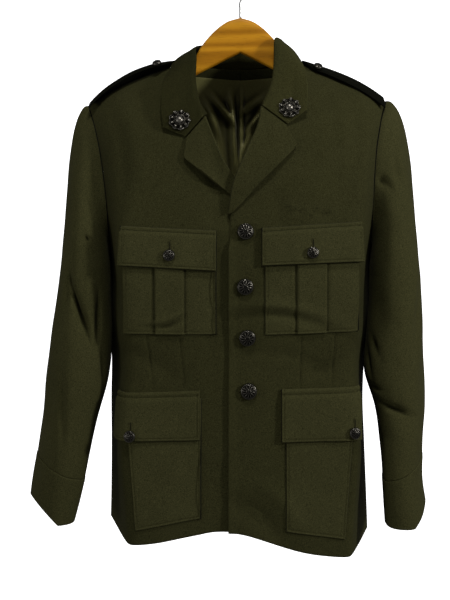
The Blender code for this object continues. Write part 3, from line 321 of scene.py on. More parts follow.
# Darts and other sewn lines on the fronts, as grooves from end to end.
DARTS = [((-144, -592), (-133, -673)), ((-93, -592), (-85, -670)),
         ((94, -589), (92, -670)), ((146, -587), (141, -670))]
DART_WIDTH, DART_DEPTH = 1.8, 1.3


def trough(crease, right, down, bend=0.0):
    """The share of a crease's height at a place to the right of and below its middle."""
    lean = math.radians(crease.lean)
    along = (down * math.cos(lean) + right * math.sin(lean)) / crease.length
    across = right * math.cos(lean) - down * math.sin(lean) + bend * crease.length * along ** 2
    return np.exp(-(across / crease.width) ** 2 - along ** 2)


def relief(plan, creases, lines=()):
    """How far the cloth stands out at each point of a plan of (x, z). It dies away at the shoulder
    ridge and the side seams, where pieces meet."""
    x, z = plan[..., 0], plan[..., 1]
    height = 0.5 * np.sin(x / 23 + 1.2 * np.sin(z / 71)) * np.sin(z / 57 + 0.8 * np.sin(x / 49))
    height += 0.25 * np.sin(x / 9.5 + z / 31) * np.sin(z / 14 - x / 40)
    for crease in creases:
        height += CREASE_DEPTH * crease.height * trough(crease, x - crease.x, crease.z - z, bend=0.16)
    for start, end in np.array(lines, float):
        beyond, run = plan - start, end - start
        share = np.clip(beyond @ run / (run @ run), 0, 1)
        apart = np.linalg.norm(beyond - share[..., None] * run, axis=-1)
        height -= DART_DEPTH * hump(apart, DART_WIDTH)
    return height * ease((ridge_z(x) - z) / 40) * ease((body_half(x, z) - np.abs(x)) / 26)


# ---- meshes

RIM_ANGLES = (35, 90, 145)    # steps of a cloth edge's rounding, in degrees


def unit(vectors):
    return vectors / np.maximum(np.linalg.norm(vectors, axis=-1, keepdims=True), 1e-9)


def link(name, data):
    """A new object in the scene."""
    made = bpy.data.objects.new(name, data)
    bpy.context.scene.collection.objects.link(made)
    return made


def piece(name, points, faces, look, sharp=None):
    """A mesh object from points in millimetres, which rides on the body."""
    mesh = bpy.data.meshes.new(name)
    mesh.from_pydata((np.asarray(points, float) * MM).tolist(), [], [list(f) for f in faces])
    work = bmesh.new()
    work.from_mesh(mesh)
    bmesh.ops.recalc_face_normals(work, faces=work.faces)
    work.to_mesh(mesh)
    work.free()
    mesh.shade_smooth()
    if sharp:
        mesh.set_sharp_from_angle(angle=math.radians(sharp))
    mesh.materials.append(MATERIALS[look])
    made = link(name, mesh)
    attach(made, "root")
    return made


def facing(grid, outside, ring=False):
    """Unit normals of a point grid on its outer side; a ring's rows run round to their starts."""
    along = np.roll(grid, -1, axis=1) - np.roll(grid, 1, axis=1) if ring else np.gradient(grid, axis=1)
    normals = unit(np.cross(along, np.gradient(grid, axis=0)))
    return normals * (1 if np.sum(normals * outside) > 0 else -1)


def border(rows, columns, ring):
    """The closed loops of (row, column) round the edges of a grid."""
    if ring:
        return [[(row, k) for k in range(columns)] for row in (0, rows - 1)]
    there = [(0, k) for k in range(columns)] + [(r, columns - 1) for r in range(1, rows)]
    back = [(rows - 1, k) for k in range(columns - 2, -1, -1)] + [(r, 0) for r in range(rows - 2, 0, -1)]
    return [there + back]


def shell(name, over, under, look, ring=False):
    """A thin shell of cloth between two grids, with its edges rounded."""
    rows, columns = over.shape[:2]
    middle = (over + under) / 2
    out = np.zeros_like(middle)
    out[0] += unit(middle[0] - middle[1])
    out[-1] += unit(middle[-1] - middle[-2])
    if not ring:
        out[:, 0] += unit(middle[:, 0] - middle[:, 1])
        out[:, -1] += unit(middle[:, -1] - middle[:, -2])
    half = np.linalg.norm(over - under, axis=2, keepdims=True) / 2
    inset = out * np.minimum(half, 0.9)
    over, under = over - inset, under - inset
    points = [over.reshape(-1, 3), under.reshape(-1, 3)]
    index = np.arange(rows * columns).reshape(rows, columns)
    across = np.roll(index, -1, axis=1) if ring else index[:, 1:]
    base = index if ring else index[:, :-1]
    quads = np.stack([base[:-1], across[:-1], across[1:], base[1:]], axis=-1).reshape(-1, 4)
    faces = [quads, quads[:, ::-1] + rows * columns]
    start = 2 * rows * columns
    for loop in border(rows, columns, ring):
        row, place = np.array(loop).T
        high, low = over[row, place], under[row, place]
        rings = [index[row, place]]
        for turn in np.radians(RIM_ANGLES):
            level = (high + low) / 2 + (high - low) / 2 * math.cos(turn)
            points.append(level + inset[row, place] * math.sin(turn))
            rings.append(start + np.arange(len(loop)))
            start += len(loop)
        rings.append(index[row, place] + rows * columns)
        for a, b in zip(rings, rings[1:]):
            faces.append(np.stack([a, np.roll(a, -1), np.roll(b, -1), b], axis=1))
    return piece(name, np.concatenate(points), np.concatenate(faces), look)


def wall(name, outer, thickness, outside, look, ring=False):
    """A shell of cloth inwards of its outer points; outside is roughly the way that it faces."""
    return shell(name, outer, outer - facing(outer, outside, ring) * thickness, look, ring)


def raised(plan, height):
    """Points of the front moved out by a height from the creased cloth."""
    base = on_face(front_y, plan)
    return base + facing(base, TOWARDS) * (height + relief(plan, FRONT_CREASES))[..., None]


def ring_faces(count, sides, closed=False):
    """Quads between rings of points that follow each other, and flat ends where they don't close."""
    faces = []
    for row in range(count if closed else count - 1):
        a, b = row * sides, (row + 1) % count * sides
        faces += [[a + k, a + (k + 1) % sides, b + (k + 1) % sides, b + k] for k in range(sides)]
    if not closed:
        faces += [list(range(sides)), list(range((count - 1) * sides, count * sides))]
    return faces


def turned(name, profile, sides, seat, normal, look, ripple=None):
    """A turned solid on a seat, along a normal, from (radius, height) pairs with poles at its ends."""
    points = [(0, 0, profile[0][1])]
    for radius, height in profile[1:-1]:
        for angle in circle(sides):
            reach, lift = ripple(radius, height, angle) if ripple else (radius, height)
            points.append((reach * math.cos(angle), reach * math.sin(angle), lift))
    points.append((0, 0, profile[-1][1]))
    last = len(points) - 1
    faces = [[corner + 1 for corner in face] for face in ring_faces(len(profile) - 2, sides)[:-2]]
    for k in range(sides):
        after = (k + 1) % sides
        faces += [[0, 1 + after, 1 + k], [last, last - sides + k, last - sides + after]]
    turn = Vector((0, 0, 1)).rotation_difference(Vector(normal))
    return piece(name, [tuple(turn @ Vector(p) + Vector(seat)) for p in points], faces, look, sharp=50)


def circle(sides):
    """Angles spaced evenly round a circle."""
    return np.linspace(0, 2 * math.pi, sides, endpoint=False)


def tube_mesh(line, radius, sides, closed):
    """Points and faces of a round wire or thread along a line of points."""
    ahead = np.roll(line, -1, axis=0) - np.roll(line, 1, axis=0) if closed else np.gradient(line, axis=0)
    ahead = unit(ahead)
    across = unit(np.cross(ahead, (0.31, 0.87, 0.38)))
    up = np.cross(ahead, across)
    angle = circle(sides)[None, :, None]
    ring = across[:, None] * np.cos(angle) + up[:, None] * np.sin(angle)
    points = line[:, None] + ring * np.broadcast_to(radius, len(line))[:, None, None]
    return points.reshape(-1, 3), ring_faces(len(line), sides, closed)


def tube(name, line, radius, look, sides=6, closed=False):
    return piece(name, *tube_mesh(np.asarray(line, float), radius, sides, closed), look)


# ---- sewing

STITCH_PITCH, STITCH_LENGTH, STITCH_WIDTH = 3.0, 2.1, 0.55
STITCH_RISE, STITCH_SINK = 0.42, 0.1
# A stitch's points, as shares of its half length, half width and rise: two tips and two rings.
STITCH = np.array([(-1, 0, 0), (1, 0, 0)] + [(0.55 * tip, side, up) for tip in (-1, 1)
                                             for side, up in ((-1, 0), (0, 1), (1, 0), (0, -0.6))])

# Loose ends of thread where a badge was unpicked: x, z, turn in degrees, and length.
LOOSE_THREADS = [(74, -391, 20, 5), (79, -397, -40, 4), (86, -394, 75, 4), (93, -400, 10, 6),
                 (101, -398, -15, 7), (108, -404, 30, 4), (114, -399, 65, 5), (120, -394, -30, 5),
                 (127, -401, 0, 6), (134, -405, 40, 4), (139, -400, -65, 4)]


def trace(grid, outside, corners):
    """Points and normals along a path of (row share, column share) corners on a grid."""
    rows, columns = grid.shape[:2]
    path = np.concatenate([np.linspace(a, b, 90) for a, b in zip(corners, corners[1:])])
    row, place = (np.clip(path, 0, 1) * (rows - 1, columns - 1)).T
    r, c = np.minimum(row.astype(int), rows - 2), np.minimum(place.astype(int), columns - 2)
    fr, fc = (row - r)[:, None], (place - c)[:, None]

    def blend(table):
        low = table[r, c] * (1 - fc) + table[r, c + 1] * fc
        high = table[r + 1, c] * (1 - fc) + table[r + 1, c + 1] * fc
        return low * (1 - fr) + high * fr

    return np.concatenate([blend(grid), unit(blend(facing(grid, outside)))], axis=1)


def stitches(name, runs, look="thread"):
    """Rows of small thread stitches along traced runs, joined in one mesh."""
    points = []
    for run in runs:
        far = run_of(run[:, :3])
        at = np.arange(STITCH_PITCH / 2, far[-1] - STITCH_PITCH / 2, STITCH_PITCH)
        here, after, before = (np.stack([np.interp(at + shift, far, values) for values in run.T], axis=1)
                               for shift in (0, 0.5, -0.5))
        ahead = unit(after[:, :3] - before[:, :3])
        up = unit(here[:, 3:])
        axes = (ahead * STITCH_LENGTH / 2, np.cross(ahead, up) * STITCH_WIDTH / 2, up * STITCH_RISE)
        points.append((here[:, :3] - up * STITCH_SINK)[:, None] + STITCH @ np.stack(axes, axis=1))
    points = np.concatenate(points).reshape(-1, 3)
    faces = []
    for start in range(0, len(points), len(STITCH)):
        for low, after in ((2, 3), (3, 4), (4, 5), (5, 2)):
            around = ([0, after, low], [low, after, after + 4, low + 4], [1, low + 4, after + 4])
            faces += [[start + corner for corner in face] for face in around]
    return piece(name, points, faces, look)


def thread_ends(name, places):
    """Loose loops of thread left in the cloth."""
    points, faces = [], []
    for x, z, turn, length in places:
        spot = np.array([[[x, z], [x + 1, z]], [[x, z + 1], [x + 1, z + 1]]], float)
        seat = raised(spot, 0.1)[0, 0]
        lean = math.radians(turn)
        along = np.array([math.cos(lean), 0, math.sin(lean)])
        across = np.array([-along[2], 0, along[0]])
        line = [seat + along * length * (t - 0.5) + TOWARDS * 1.3 * math.sin(math.pi * t)
                + across * 0.5 * math.sin(9 * t + turn) for t in np.linspace(0, 1, 14)]
        more, sides = tube_mesh(np.array(line), 0.28, 5, False)
        faces += [[k + len(points) for k in face] for face in sides]
        points += more.tolist()
    return piece(name, points, faces, "thread")


def buttonhole(name, middle, along, normal, length=13.0, width=2.2):
    """A worked buttonhole: a slit with thread whipped round it."""
    middle, along, normal = (np.asarray(v, float) for v in (middle, along, normal))
    beside = np.cross(along, normal)
    line, radius = [], []
    for k, angle in enumerate(circle(72)):
        reach = math.copysign(abs(math.cos(angle)) ** 0.45, math.cos(angle)) * length / 2
        line.append(middle + along * reach + beside * math.sin(angle) * width / 2 + normal * 0.15)
        radius.append(0.55 + 0.12 * (k % 2))
    made = tube(name, line, np.array(radius), "thread", closed=True)
    # the slit is a thin near-black tube of painted shade
    slit = [middle + along * t * length * 0.46 + normal * 0.05 for t in np.linspace(-1, 1, 9)]
    return [made, tube(name + "_slit", slit, np.array([0.5] + [0.75] * 7 + [0.5]), "shadow")]


# ---- fronts and backs

FRONT_COLUMNS, LOW_ROWS, HIGH_ROWS = 151, 76, 70
BACK_COLUMNS = 68
UNDER_TUCK = 2.7          # what the left front covers lies this far behind its outside,
LAPEL_TUCK_Z = -430.0     # a lapel's wall further above this level,
HEM_TUCK, HEM_TUCK_Z = 1.6, -770.0    # and this much further below this one
FRONT_TUCK_LEAD = 22.0    # the right front is right down this far before the left front's edge,
LAPEL_TUCK_LEAD = 7.0     # and its lapel, which lies on it, only this far
TUCK_WIDTH = 30.0
OVERLAP_LIFT = 5.0        # how far the free edge of the left front springs off the right one,
OVERLAP_TOP_Z = -438.0    # from below the lapel on,
OVERLAP_LOW_Z, OVERLAP_LOW_LOSS = -560.0, 0.35    # and by this share less further down
OVERLAP_REACH = 15.0      # how far in from the edge it lies flat again
OVERLAP_EASE = 3.2        # and how far the spring moves the edge over the right front


def front_edge(side):
    """The front edge above the overlap: along the roll of the lapel, then up the neckline."""
    roll = [Point(p.x + side * ROLL_SETBACK, p.z) for p in reversed(LAPEL_ROLL[side])]
    roll[0] = Point(OVERLAP_X[side], roll[0].z)
    return roll + NECKLINE[side]


def outline(side, start, hem, top, near, armhole):
    """The plan of a front or back: rows from the hem to the underarm, then up to the shoulder."""
    rows = []
    for up in np.linspace(0, 1, LOW_ROWS):
        end = side * body_half(side, HEM_Z + (UNDERARM_Z - HEM_Z) * up)
        x = start + (end - start) * np.linspace(0, 1, DENSE)
        rows.append(np.stack([x, hem(x) + (UNDERARM_Z - hem(x)) * up], axis=1))
    far_z = np.linspace(UNDERARM_Z, ARMHOLE[side][-1].z, DENSE)
    far = evenly(np.stack([side * column(ARMHOLE[side], armhole, far_z), far_z], axis=1), HIGH_ROWS)
    far[0] = rows[-1][-1]
    return np.concatenate([rows, four_sided(rows[-1], top, near, far)[1:]])


def tuck_under(points, depth, lead):
    """Move points of the right side behind the left front, where it covers them."""
    edge = front_edge(LEFT)
    left_x = smooth([p.z for p in edge], [p.x for p in edge], points[..., 2])
    covered = ease((points[..., 0] - left_x + lead) / TUCK_WIDTH + 1)
    behind = front_y(points[..., 0], points[..., 2]) + depth
    moved = points.copy()
    moved[..., 1] += covered * (behind - points[..., 1])
    return moved


def body_shell(name, side, outer, outside):
    """A front or back, which keeps half a seam's gap from its neighbours."""
    inner = outer - facing(outer, outside) * WOOL
    sign = outside[1]
    for grid in (outer, inner):
        if sign > 0:
            grid[:, 0, 0] = side * SEAM / 2
        grid[-1, :, 1] = sign * np.maximum(sign * grid[-1, :, 1], SEAM / 2)
        grid[:LOW_ROWS, -1, 1] += sign * SEAM / 2
    inner[:LOW_ROWS, -1, 1] = outer[:LOW_ROWS, -1, 1]
    return shell(name + SIDE_NAMES[side], outer, inner, "wool")


def make_front(side):
    edge = front_edge(side)
    top_x = np.linspace(edge[-1].x, side * TIP_X[side], DENSE)
    top = np.stack([top_x, ridge_z(top_x)], axis=1)
    top[0] = edge[-1]
    near = soft_line([(OVERLAP_X[side], UNDERARM_Z)] + edge, HIGH_ROWS)
    plan = outline(side, OVERLAP_X[side], hem_z, top, near, "front_x")
    outer = spaced_rows(front_y, plan, FRONT_COLUMNS)
    normals = facing(outer, TOWARDS)
    outer = outer + normals * relief(outer[..., [0, 2]], FRONT_CREASES, DARTS)[..., None]
    z = outer[..., 2]
    if side == LEFT:
        from_edge = outer[..., 0] - outer[..., 0].min(axis=1, keepdims=True)
        below_lapel = ease((OVERLAP_TOP_Z - z) / 24)
        spring = OVERLAP_LIFT * (1 - OVERLAP_LOW_LOSS * ease((OVERLAP_LOW_Z - z) / 60)) * below_lapel
        outer = outer + normals * (spring * (1 - ease(from_edge / OVERLAP_REACH)))[..., None]
        outer[..., 0] -= OVERLAP_EASE * below_lapel * (1 - ease(from_edge / (2 * OVERLAP_REACH)))
    else:
        behind_lapel = (DOUBLED + 2 * SEAM) * ease((z - LAPEL_TUCK_Z) / 20)
        depth = UNDER_TUCK + behind_lapel + HEM_TUCK * ease((HEM_TUCK_Z - z) / 30)
        outer = tuck_under(outer, depth, FRONT_TUCK_LEAD)
    return body_shell("tunic_front_", side, outer, TOWARDS)


def make_back(side):
    start = side * SEAM / 2
    across = np.linspace(0, 1, DENSE)
    top_x = start + (side * TIP_X[side] - start) * across
    neck_share = abs(NECKLINE[side][-1].x) / TIP_X[side]
    dip = BACK_NECK_DROP * np.sqrt(np.clip(1 - (across / neck_share) ** 2, 0, 1))
    top = np.stack([top_x, ridge_z(top_x) - dip], axis=1)
    near = np.linspace((start, UNDERARM_Z), (start, top[0, 1]), HIGH_ROWS)
    plan = outline(side, start, back_hem_z, top, near, "back_x")
    outer = spaced_rows(back_y, plan, BACK_COLUMNS)
    height = relief(outer[..., [0, 2]], BACK_CREASES) * ease(np.abs(outer[..., 0]) / 8)
    outer = outer + facing(outer, -TOWARDS) * height[..., None]
    return body_shell("tunic_back_", side, outer, -TOWARDS)


# ---- sleeves

# Sections of the sleeves below the armhole: the middle, the half sizes and the turn in degrees.
Sleeve = namedtuple("Sleeve", "z x y half_width half_depth turn")
SLEEVE = {
    RIGHT: named(
        Sleeve,
        (-500, 254, -5, 42, 78, 5), (-555, 257.2, -8, 46.2, 76, 9), (-610, 260, -14, 50.5, 74, 11),
        (-665, 264.5, -22, 50.5, 72, 14), (-730, 276, -30, 42, 68, 20), (-785, 285, -36, 38, 65, 25),
        (-820, 291, -40, 36.5, 63, 28), (-885, 303.5, -41, 30.5, 62, 30)),
    LEFT: named(
        Sleeve,
        (-500, 253, -5, 42, 78, 5), (-555, 253.8, -8, 44.8, 76, 9), (-610, 252.5, -14, 48, 74, 10),
        (-655, 251.5, -20, 49, 72, 11), (-710, 259, -28, 40, 69, 14), (-767, 260, -35, 33.5, 67, 15),
        (-822, 260.5, -40, 30.5, 66, 16), (-889, 267, -42, 32.5, 66, 18)),
}

# The folds of each sleeve, as soft troughs, large and small. A fold's middle is placed by its height
# and by its angle round the sleeve, from the outer side (0) by the front (90) and the inner side
# (180). A lean takes its lower end towards larger angles.
Fold = namedtuple("Fold", "z angle lean length width depth")
SLEEVE_FOLDS = {
    RIGHT: named(
        Fold,
        (-352, 105, 30, 34, 20, 4.0), (-440, 50, -6, 70, 26, 4.0), (-556, 84, 22, 46, 20, 6.5),
        (-660, 38, -4, 90, 24, 5.0), (-610, 200, -18, 60, 24, 5.0), (-470, 290, 8, 80, 26, 5.0),
        (-680, 262, 48, 46, 22, 5.0)),
    LEFT: named(
        Fold,
        (-425, 66, 4, 100, 26, 5.5), (-560, 118, -30, 40, 20, 4.5), (-716, 80, -72, 42, 18, 4.0),
        (-655, 20, 10, 70, 24, 4.5), (-600, 205, 16, 60, 24, 5.0), (-480, 280, -8, 80, 26, 5.0),
        (-700, 270, -44, 46, 22, 5.0)),
}
SMALL_FOLD_GAIN = 2.2     # what the depths of the small folds are multiplied by
SMALL_FOLDS = {
    RIGHT: named(
        Fold,
        (-338, 112, 38, 22, 7, 4.0), (-352, 132, -38, 16, 6, 3.5), (-392, 96, 30, 22, 8, 2.0),
        (-424, 148, 24, 26, 5, 3.0), (-441, 97, 80, 6, 3, 3.0), (-556, 84, 22, 48, 6, 5.0),
        (-566, 117, -4, 34, 5, 5.0), (-640, 128, 14, 30, 7, 2.4), (-520, 60, -12, 40, 8, 2.0),
        (-700, 60, 5, 60, 8, 2.0), (-610, 250, 60, 30, 8, 3.0), (-650, 230, -60, 28, 8, 3.0),
        (-420, 300, 20, 36, 9, 3.0), (-540, 330, -12, 50, 10, 2.4)),
    LEFT: named(
        Fold,
        (-612, 126, -37, 18, 6, 3.0), (-640, 142, -20, 22, 6, 2.4), (-706, 96, -74, 34, 6, 3.2),
        (-676, 128, -82, 18, 5, 2.0), (-750, 144, -24, 16, 5, 2.4), (-405, 140, 70, 12, 5, 3.0),
        (-346, 96, -30, 22, 8, 2.6), (-330, 60, 20, 26, 8, 2.4), (-560, 40, 12, 60, 10, 2.0),
        (-620, 245, -58, 30, 8, 3.0), (-664, 232, 62, 28, 8, 3.0), (-430, 300, -18, 36, 9, 3.0),
        (-550, 325, 10, 50, 10, 2.4)),
}
FOLD_REACH = 58.0         # a sleeve's mean radius, which turns angles into lengths
SLEEVE_SIDES = 120
SLEEVE_HEAD_ROWS, SLEEVE_ROWS, CUFF_ROWS = 40, 94, 24
SLEEVE_FLATNESS = 2.3     # exponent of a sleeve's section, where 2 is an ellipse
CAP_REACH = {RIGHT: 37.0, LEFT: 46.0}  # how far the sleeve head runs out level from the shoulder tip,
CAP_SLACK = 14.0          # and how far it hangs inside the line down from there
CAP_PUFF = 12.0
CUFF_SEAM_Z = -803.0      # middle of the cuff seam, which slopes round the sleeve
CUFF_SEAM_SLOPE = 16.0
CUFF_STEP = 0.8           # the cuff stands proud of the sleeve by this much
CUFF_LIFT = {RIGHT: 30.0, LEFT: 27.0}          # the cuff's hem rises by this much at its outer back,
CUFF_LIFT_ANGLE = {RIGHT: 345.0, LEFT: 325.0}  # at these places, in degrees round the sleeve
SLEEVE_SEAMS = (162.0, 288.0)  # the under sleeve lies between these angles
ARMHOLE_SHADE_RADIUS = 1.25       # radius of the near-black tube of painted shade along an armhole seam
ANGLES = circle(SLEEVE_SIDES)


def armhole_ring(side):
    """The armhole seam from the tip down the front to the underarm and up the back."""
    z = np.linspace(ARMHOLE[side][-1].z, UNDERARM_Z, DENSE)
    halves = []
    for face, name in ((front_y, "front_x"), (back_y, "back_x")):
        x = side * column(ARMHOLE[side], name, z)
        halves.append(evenly(np.stack([x, face(x, z), z], axis=1), SLEEVE_SIDES // 2 + 1))
    return np.concatenate([halves[0], halves[1][-2:0:-1]])


def sleeve_section(side, z):
    """One ring of a sleeve at a height, from its outer side round by the front."""
    z = np.broadcast_to(z, SLEEVE_SIDES)
    x, y, half_width, half_depth, turn = (column(SLEEVE[side], name, z) for name in Sleeve._fields[1:])
    across, depth = (np.sign(wave) * np.abs(wave) ** (2 / SLEEVE_FLATNESS)
                     for wave in (np.cos(ANGLES), -np.sin(ANGLES)))
    across, depth, turn = across * half_width, depth * half_depth, np.radians(turn)
    x = x + across * np.cos(turn) + depth * np.sin(turn)
    y = y + depth * np.cos(turn) - across * np.sin(turn)
    return np.stack([side * x, y, z], axis=1)


def sleeve_head(side):
    """Rings from the armhole seam out over the sleeve head and down to the first section."""
    top = 0.5 + 0.5 * np.cos(ANGLES)
    puff = np.sin(ANGLES)
    seam = armhole_ring(side)
    seam[:, 0] += side * (SEAM + 0.1)
    seam[:, 2] += SEAM * top
    below = sleeve_section(side, SLEEVE[side][0].z)
    near = seam + np.stack([side * (CAP_REACH[side] * top + CAP_PUFF * puff ** 2), -CAP_PUFF * puff,
                            -2 * top - 8 * (1 - top)], axis=1)
    far = below.copy()
    far[:, 0] -= side * CAP_SLACK * np.clip(np.cos(ANGLES), 0, 1)
    far[:, 2] += 0.42 * (seam[:, 2] - below[:, 2])
    return np.array([(1 - t) ** 3 * seam + 3 * t * (1 - t) ** 2 * near
                     + 3 * t * t * (1 - t) * far + t ** 3 * below
                     for t in np.linspace(0, 1, SLEEVE_HEAD_ROWS) ** 1.15])


def cuff_seam_z():
    """Height of the cuff seam round a sleeve: low at the inner front, high at the outer back."""
    return CUFF_SEAM_Z + CUFF_SEAM_SLOPE * np.cos(ANGLES + math.radians(35))


def lower_rings(side, start_z, end_z, rows):
    """Rings of a sleeve between two levels, which are a height for each point round it."""
    shares = np.linspace(0, 1, rows)
    return np.array([sleeve_section(side, start_z + (end_z - start_z) * share) for share in shares])


def from_middle(rings, level=True):
    """Unit directions away from the middles of rings of points."""
    away = rings - rings.mean(axis=1, keepdims=True)
    if level:
        away[..., 2] = 0
    return unit(away)


def round_from(degrees):
    """How far round the sleeve its points are from an angle."""
    return FOLD_REACH * ((ANGLES - math.radians(degrees) + math.pi) % (2 * math.pi) - math.pi)


def folded(rings, side):
    """Press the large folds and then the small ones into rings of points."""
    for folds, gain in ((SLEEVE_FOLDS[side], 1.0), (SMALL_FOLDS[side], SMALL_FOLD_GAIN)):
        depth = sum(gain * fold.depth * trough(fold, round_from(fold.angle), fold.z - rings[..., 2])
                    for fold in folds)
        rings = rings - from_middle(rings) * depth[..., None]
    return rings


def sleeve_life(rings):
    """Small unevenness of hanging cloth, and the seams down the sleeve."""
    z = rings[..., 2]
    rise = 0.5 * np.sin(3 * ANGLES + z / 37) * np.sin(z / 43 + 2 * np.sin(ANGLES))
    rise += 0.25 * np.sin(7 * ANGLES - z / 19) * np.sin(z / 23)
    for seam in SLEEVE_SEAMS:
        rise -= 0.9 * hump(round_from(seam), 2.2)
    return rings + from_middle(rings) * rise[..., None]


def head_pucker(rings):
    """Fullness eased into the armhole seam, which ripples the first few centimetres."""
    run = np.linalg.norm(rings - rings[:1], axis=2)
    top = (0.5 + 0.5 * np.cos(ANGLES)) ** 2
    ripple = 0.5 * np.sin(34 * ANGLES) * np.exp(-run / 16) * ease(run / 4) * top
    roll = 1.3 * hump(run - 7, 6) * (0.3 + 0.7 * top)
    return rings + from_middle(rings, level=False) * (ripple + roll)[..., None]


def ring_normals(rings):
    """Unit normals of rings of points, away from their middles."""
    return facing(rings, rings - rings.mean(axis=1, keepdims=True), ring=True)


def strip_of_rings(rings, first, count):
    """Part of each ring, from one of its points on, with half a seam's gap left at both ends."""
    strip = np.take(rings, np.arange(first, first + count), axis=1, mode="wrap")
    for end, beside in ((0, 1), (-1, -2)):
        strip[:, end] += unit(strip[:, beside] - strip[:, end]) * SEAM / 2
    return strip


def make_sleeve(side):
    """The top sleeve, and the under sleeve between the two seams down the arm."""
    first = np.full(SLEEVE_SIDES, float(SLEEVE[side][0].z))
    arm = lower_rings(side, first, cuff_seam_z(), SLEEVE_ROWS)
    plain = np.concatenate([sleeve_head(side), arm[1:]])
    from_seam = ease(np.linalg.norm(plain - plain[:1], axis=2) / 14)[..., None]
    outer = plain + (folded(plain, side) - plain) * from_seam
    outer = head_pucker(sleeve_life(outer))
    inner = outer - ring_normals(outer) * WOOL
    name = SIDE_NAMES[side]
    # painted shade: a near-black tube along the armhole seam stands for the shade in it
    tube("armhole_shade_line_" + name, (outer[0] + inner[0]) / 2, ARMHOLE_SHADE_RADIUS, "shadow", closed=True)
    start, end = (round(seam / 360 * SLEEVE_SIDES) for seam in SLEEVE_SEAMS)
    under_count = end - start + 1
    made = []
    for kind, at, count in (("top", end, SLEEVE_SIDES - under_count + 2), ("under", start, under_count)):
        layers = [strip_of_rings(rings, at, count) for rings in (outer, inner)]
        made.append(shell("tunic_sleeve_%s_%s" % (kind, name), *layers, "sleeve_wool"))
    return made


def make_cuff(side):
    rise = np.clip(np.cos(ANGLES - math.radians(CUFF_LIFT_ANGLE[side])), 0, 1)
    foot = SLEEVE[side][-1].z + CUFF_LIFT[side] * rise
    outer = sleeve_life(folded(lower_rings(side, cuff_seam_z() - SEAM, foot, CUFF_ROWS), side))
    normals = ring_normals(outer)
    outer = outer + normals * CUFF_STEP
    name = SIDE_NAMES[side]
    made = shell("tunic_cuff_" + name, outer, outer - normals * DOUBLED, "sleeve_wool", ring=True)
    line = np.concatenate([outer[2], normals[2]], axis=1)
    return made, stitches("cuff_stitches_" + name, [np.concatenate([line, line[:1]])])


# ---- collar and lapels

COLLAR_COLUMNS, LEAF_ROWS, STAND_ROWS = 131, 34, 14
LAPEL_ROWS, LAPEL_COLUMNS = 76, 48
LAPEL_REST, LAPEL_ROLL_LIFT = 1.0, 5.0  # a lapel lies this far off the chest, and more by its roll,
LAPEL_LIFT = {LEFT: 6.0, RIGHT: 9.0}    # and the middle of its free edge springs off this much more
FOLD_OUT, FOLD_IN = 3.2, 1.2    # the collar's fold bends this far outside and inside of its top line


def clear_of_body(points, gap):
    """Move points that are below the shoulder ridge out of the fronts or backs."""
    x, y, z = points.T
    clear = np.where(y < 0, np.minimum(y, front_y(x, z) - gap), np.maximum(y, back_y(x, z) + gap))
    return np.stack([x, np.where(z < ridge_z(x), clear, y), z], axis=1)


def make_collar():
    """Rows run from the edge of the fall, over the fold, to the foot of the stand."""
    stations = np.linspace(0, len(COLLAR) - 1, COLLAR_COLUMNS)
    read = np.stack([smooth(np.arange(len(COLLAR)), values, stations) for values in COLLAR.T], axis=1)
    edge, fold, foot, notch = read[:, :3], read[:, 3:6], read[:, 6:9], read[:, 9]
    away = fold - (np.mean(foot[:, 0]), 0, 0)
    away[:, 2] = 0
    away = unit(away)
    corner = np.linspace(NOTCH_SHARE[RIGHT], NOTCH_SHARE[LEFT], COLLAR_COLUMNS)
    leaf = []
    for share in np.linspace(0, 0.95, LEAF_ROWS):
        row = edge + (fold - edge) * share + away * LEAF_BULGE * math.sin(math.pi * min(share, 0.78))
        row[:, 2] -= notch * np.where(share < corner, share / corner, (1 - share) / (1 - corner))
        leaf.append(clear_of_body(row, DOUBLED + 1.3))
    shoulder = fold + away * FOLD_OUT
    shoulder[:, 2] -= 1.0
    inside = fold - away * FOLD_IN
    inside[:, 2] -= 4.0 * (1 - notch / notch.max())
    over_top = 2 * fold - (shoulder + inside) / 2
    bend = [(1 - t) ** 2 * shoulder + 2 * t * (1 - t) * over_top + t * t * inside
            for t in np.linspace(0, 1, 9)[1:-1]]
    stand = []
    for share in np.linspace(0, 1, STAND_ROWS):
        sink = (1.0 + 1.8 * ease(2 * share - 1)) * ease(share * 3)
        stand.append(inside + (foot - inside) * share - away * sink)
    outer = np.array(leaf + [shoulder] + bend + stand)
    outside = np.zeros_like(outer)
    outside[:12] = away
    return wall("tunic_collar", outer, DOUBLED, outside, "collar_wool_shaded")


def make_lapel(side):
    """Rows run from the gorge seam down to the break; columns from the roll to the far edge."""
    roll = soft_line(LAPEL_ROLL[side], LAPEL_ROWS)
    far = crisp_line(LAPEL_EDGE[side], LAPEL_ROWS)
    shares = np.linspace(0, 1, LAPEL_COLUMNS)
    plan = roll[:, None] + (far - roll)[:, None] * shares[None, :, None]
    down = np.linspace(0, 1, LAPEL_ROWS)
    swell = np.sin(np.pi * np.clip(down * 0.9 + 0.05, 0, 1))
    stand = DOUBLED + LAPEL_REST + LAPEL_ROLL_LIFT * np.outer(swell, (1 - shares) ** 1.2)
    stand += LAPEL_LIFT[side] * np.outer(np.sin(np.pi * down) ** 2, shares ** 2)
    over = raised(plan, stand)
    tuck = []
    for t in (1.0, 0.66, 0.33):
        row = over[:, :1].copy()
        row[..., 0] -= side * 1.6 * math.sin(t * math.pi / 2)
        row[..., 1] += (stand[:, :1] + 1.0) * t
        tuck.append(row)
    outer = np.concatenate(tuck + [over], axis=1)
    if side == RIGHT:
        outer = tuck_under(outer, UNDER_TUCK, LAPEL_TUCK_LEAD)
    return wall("tunic_lapel_" + SIDE_NAMES[side], outer, DOUBLED, TOWARDS, "wool")


# ---- pockets and flaps

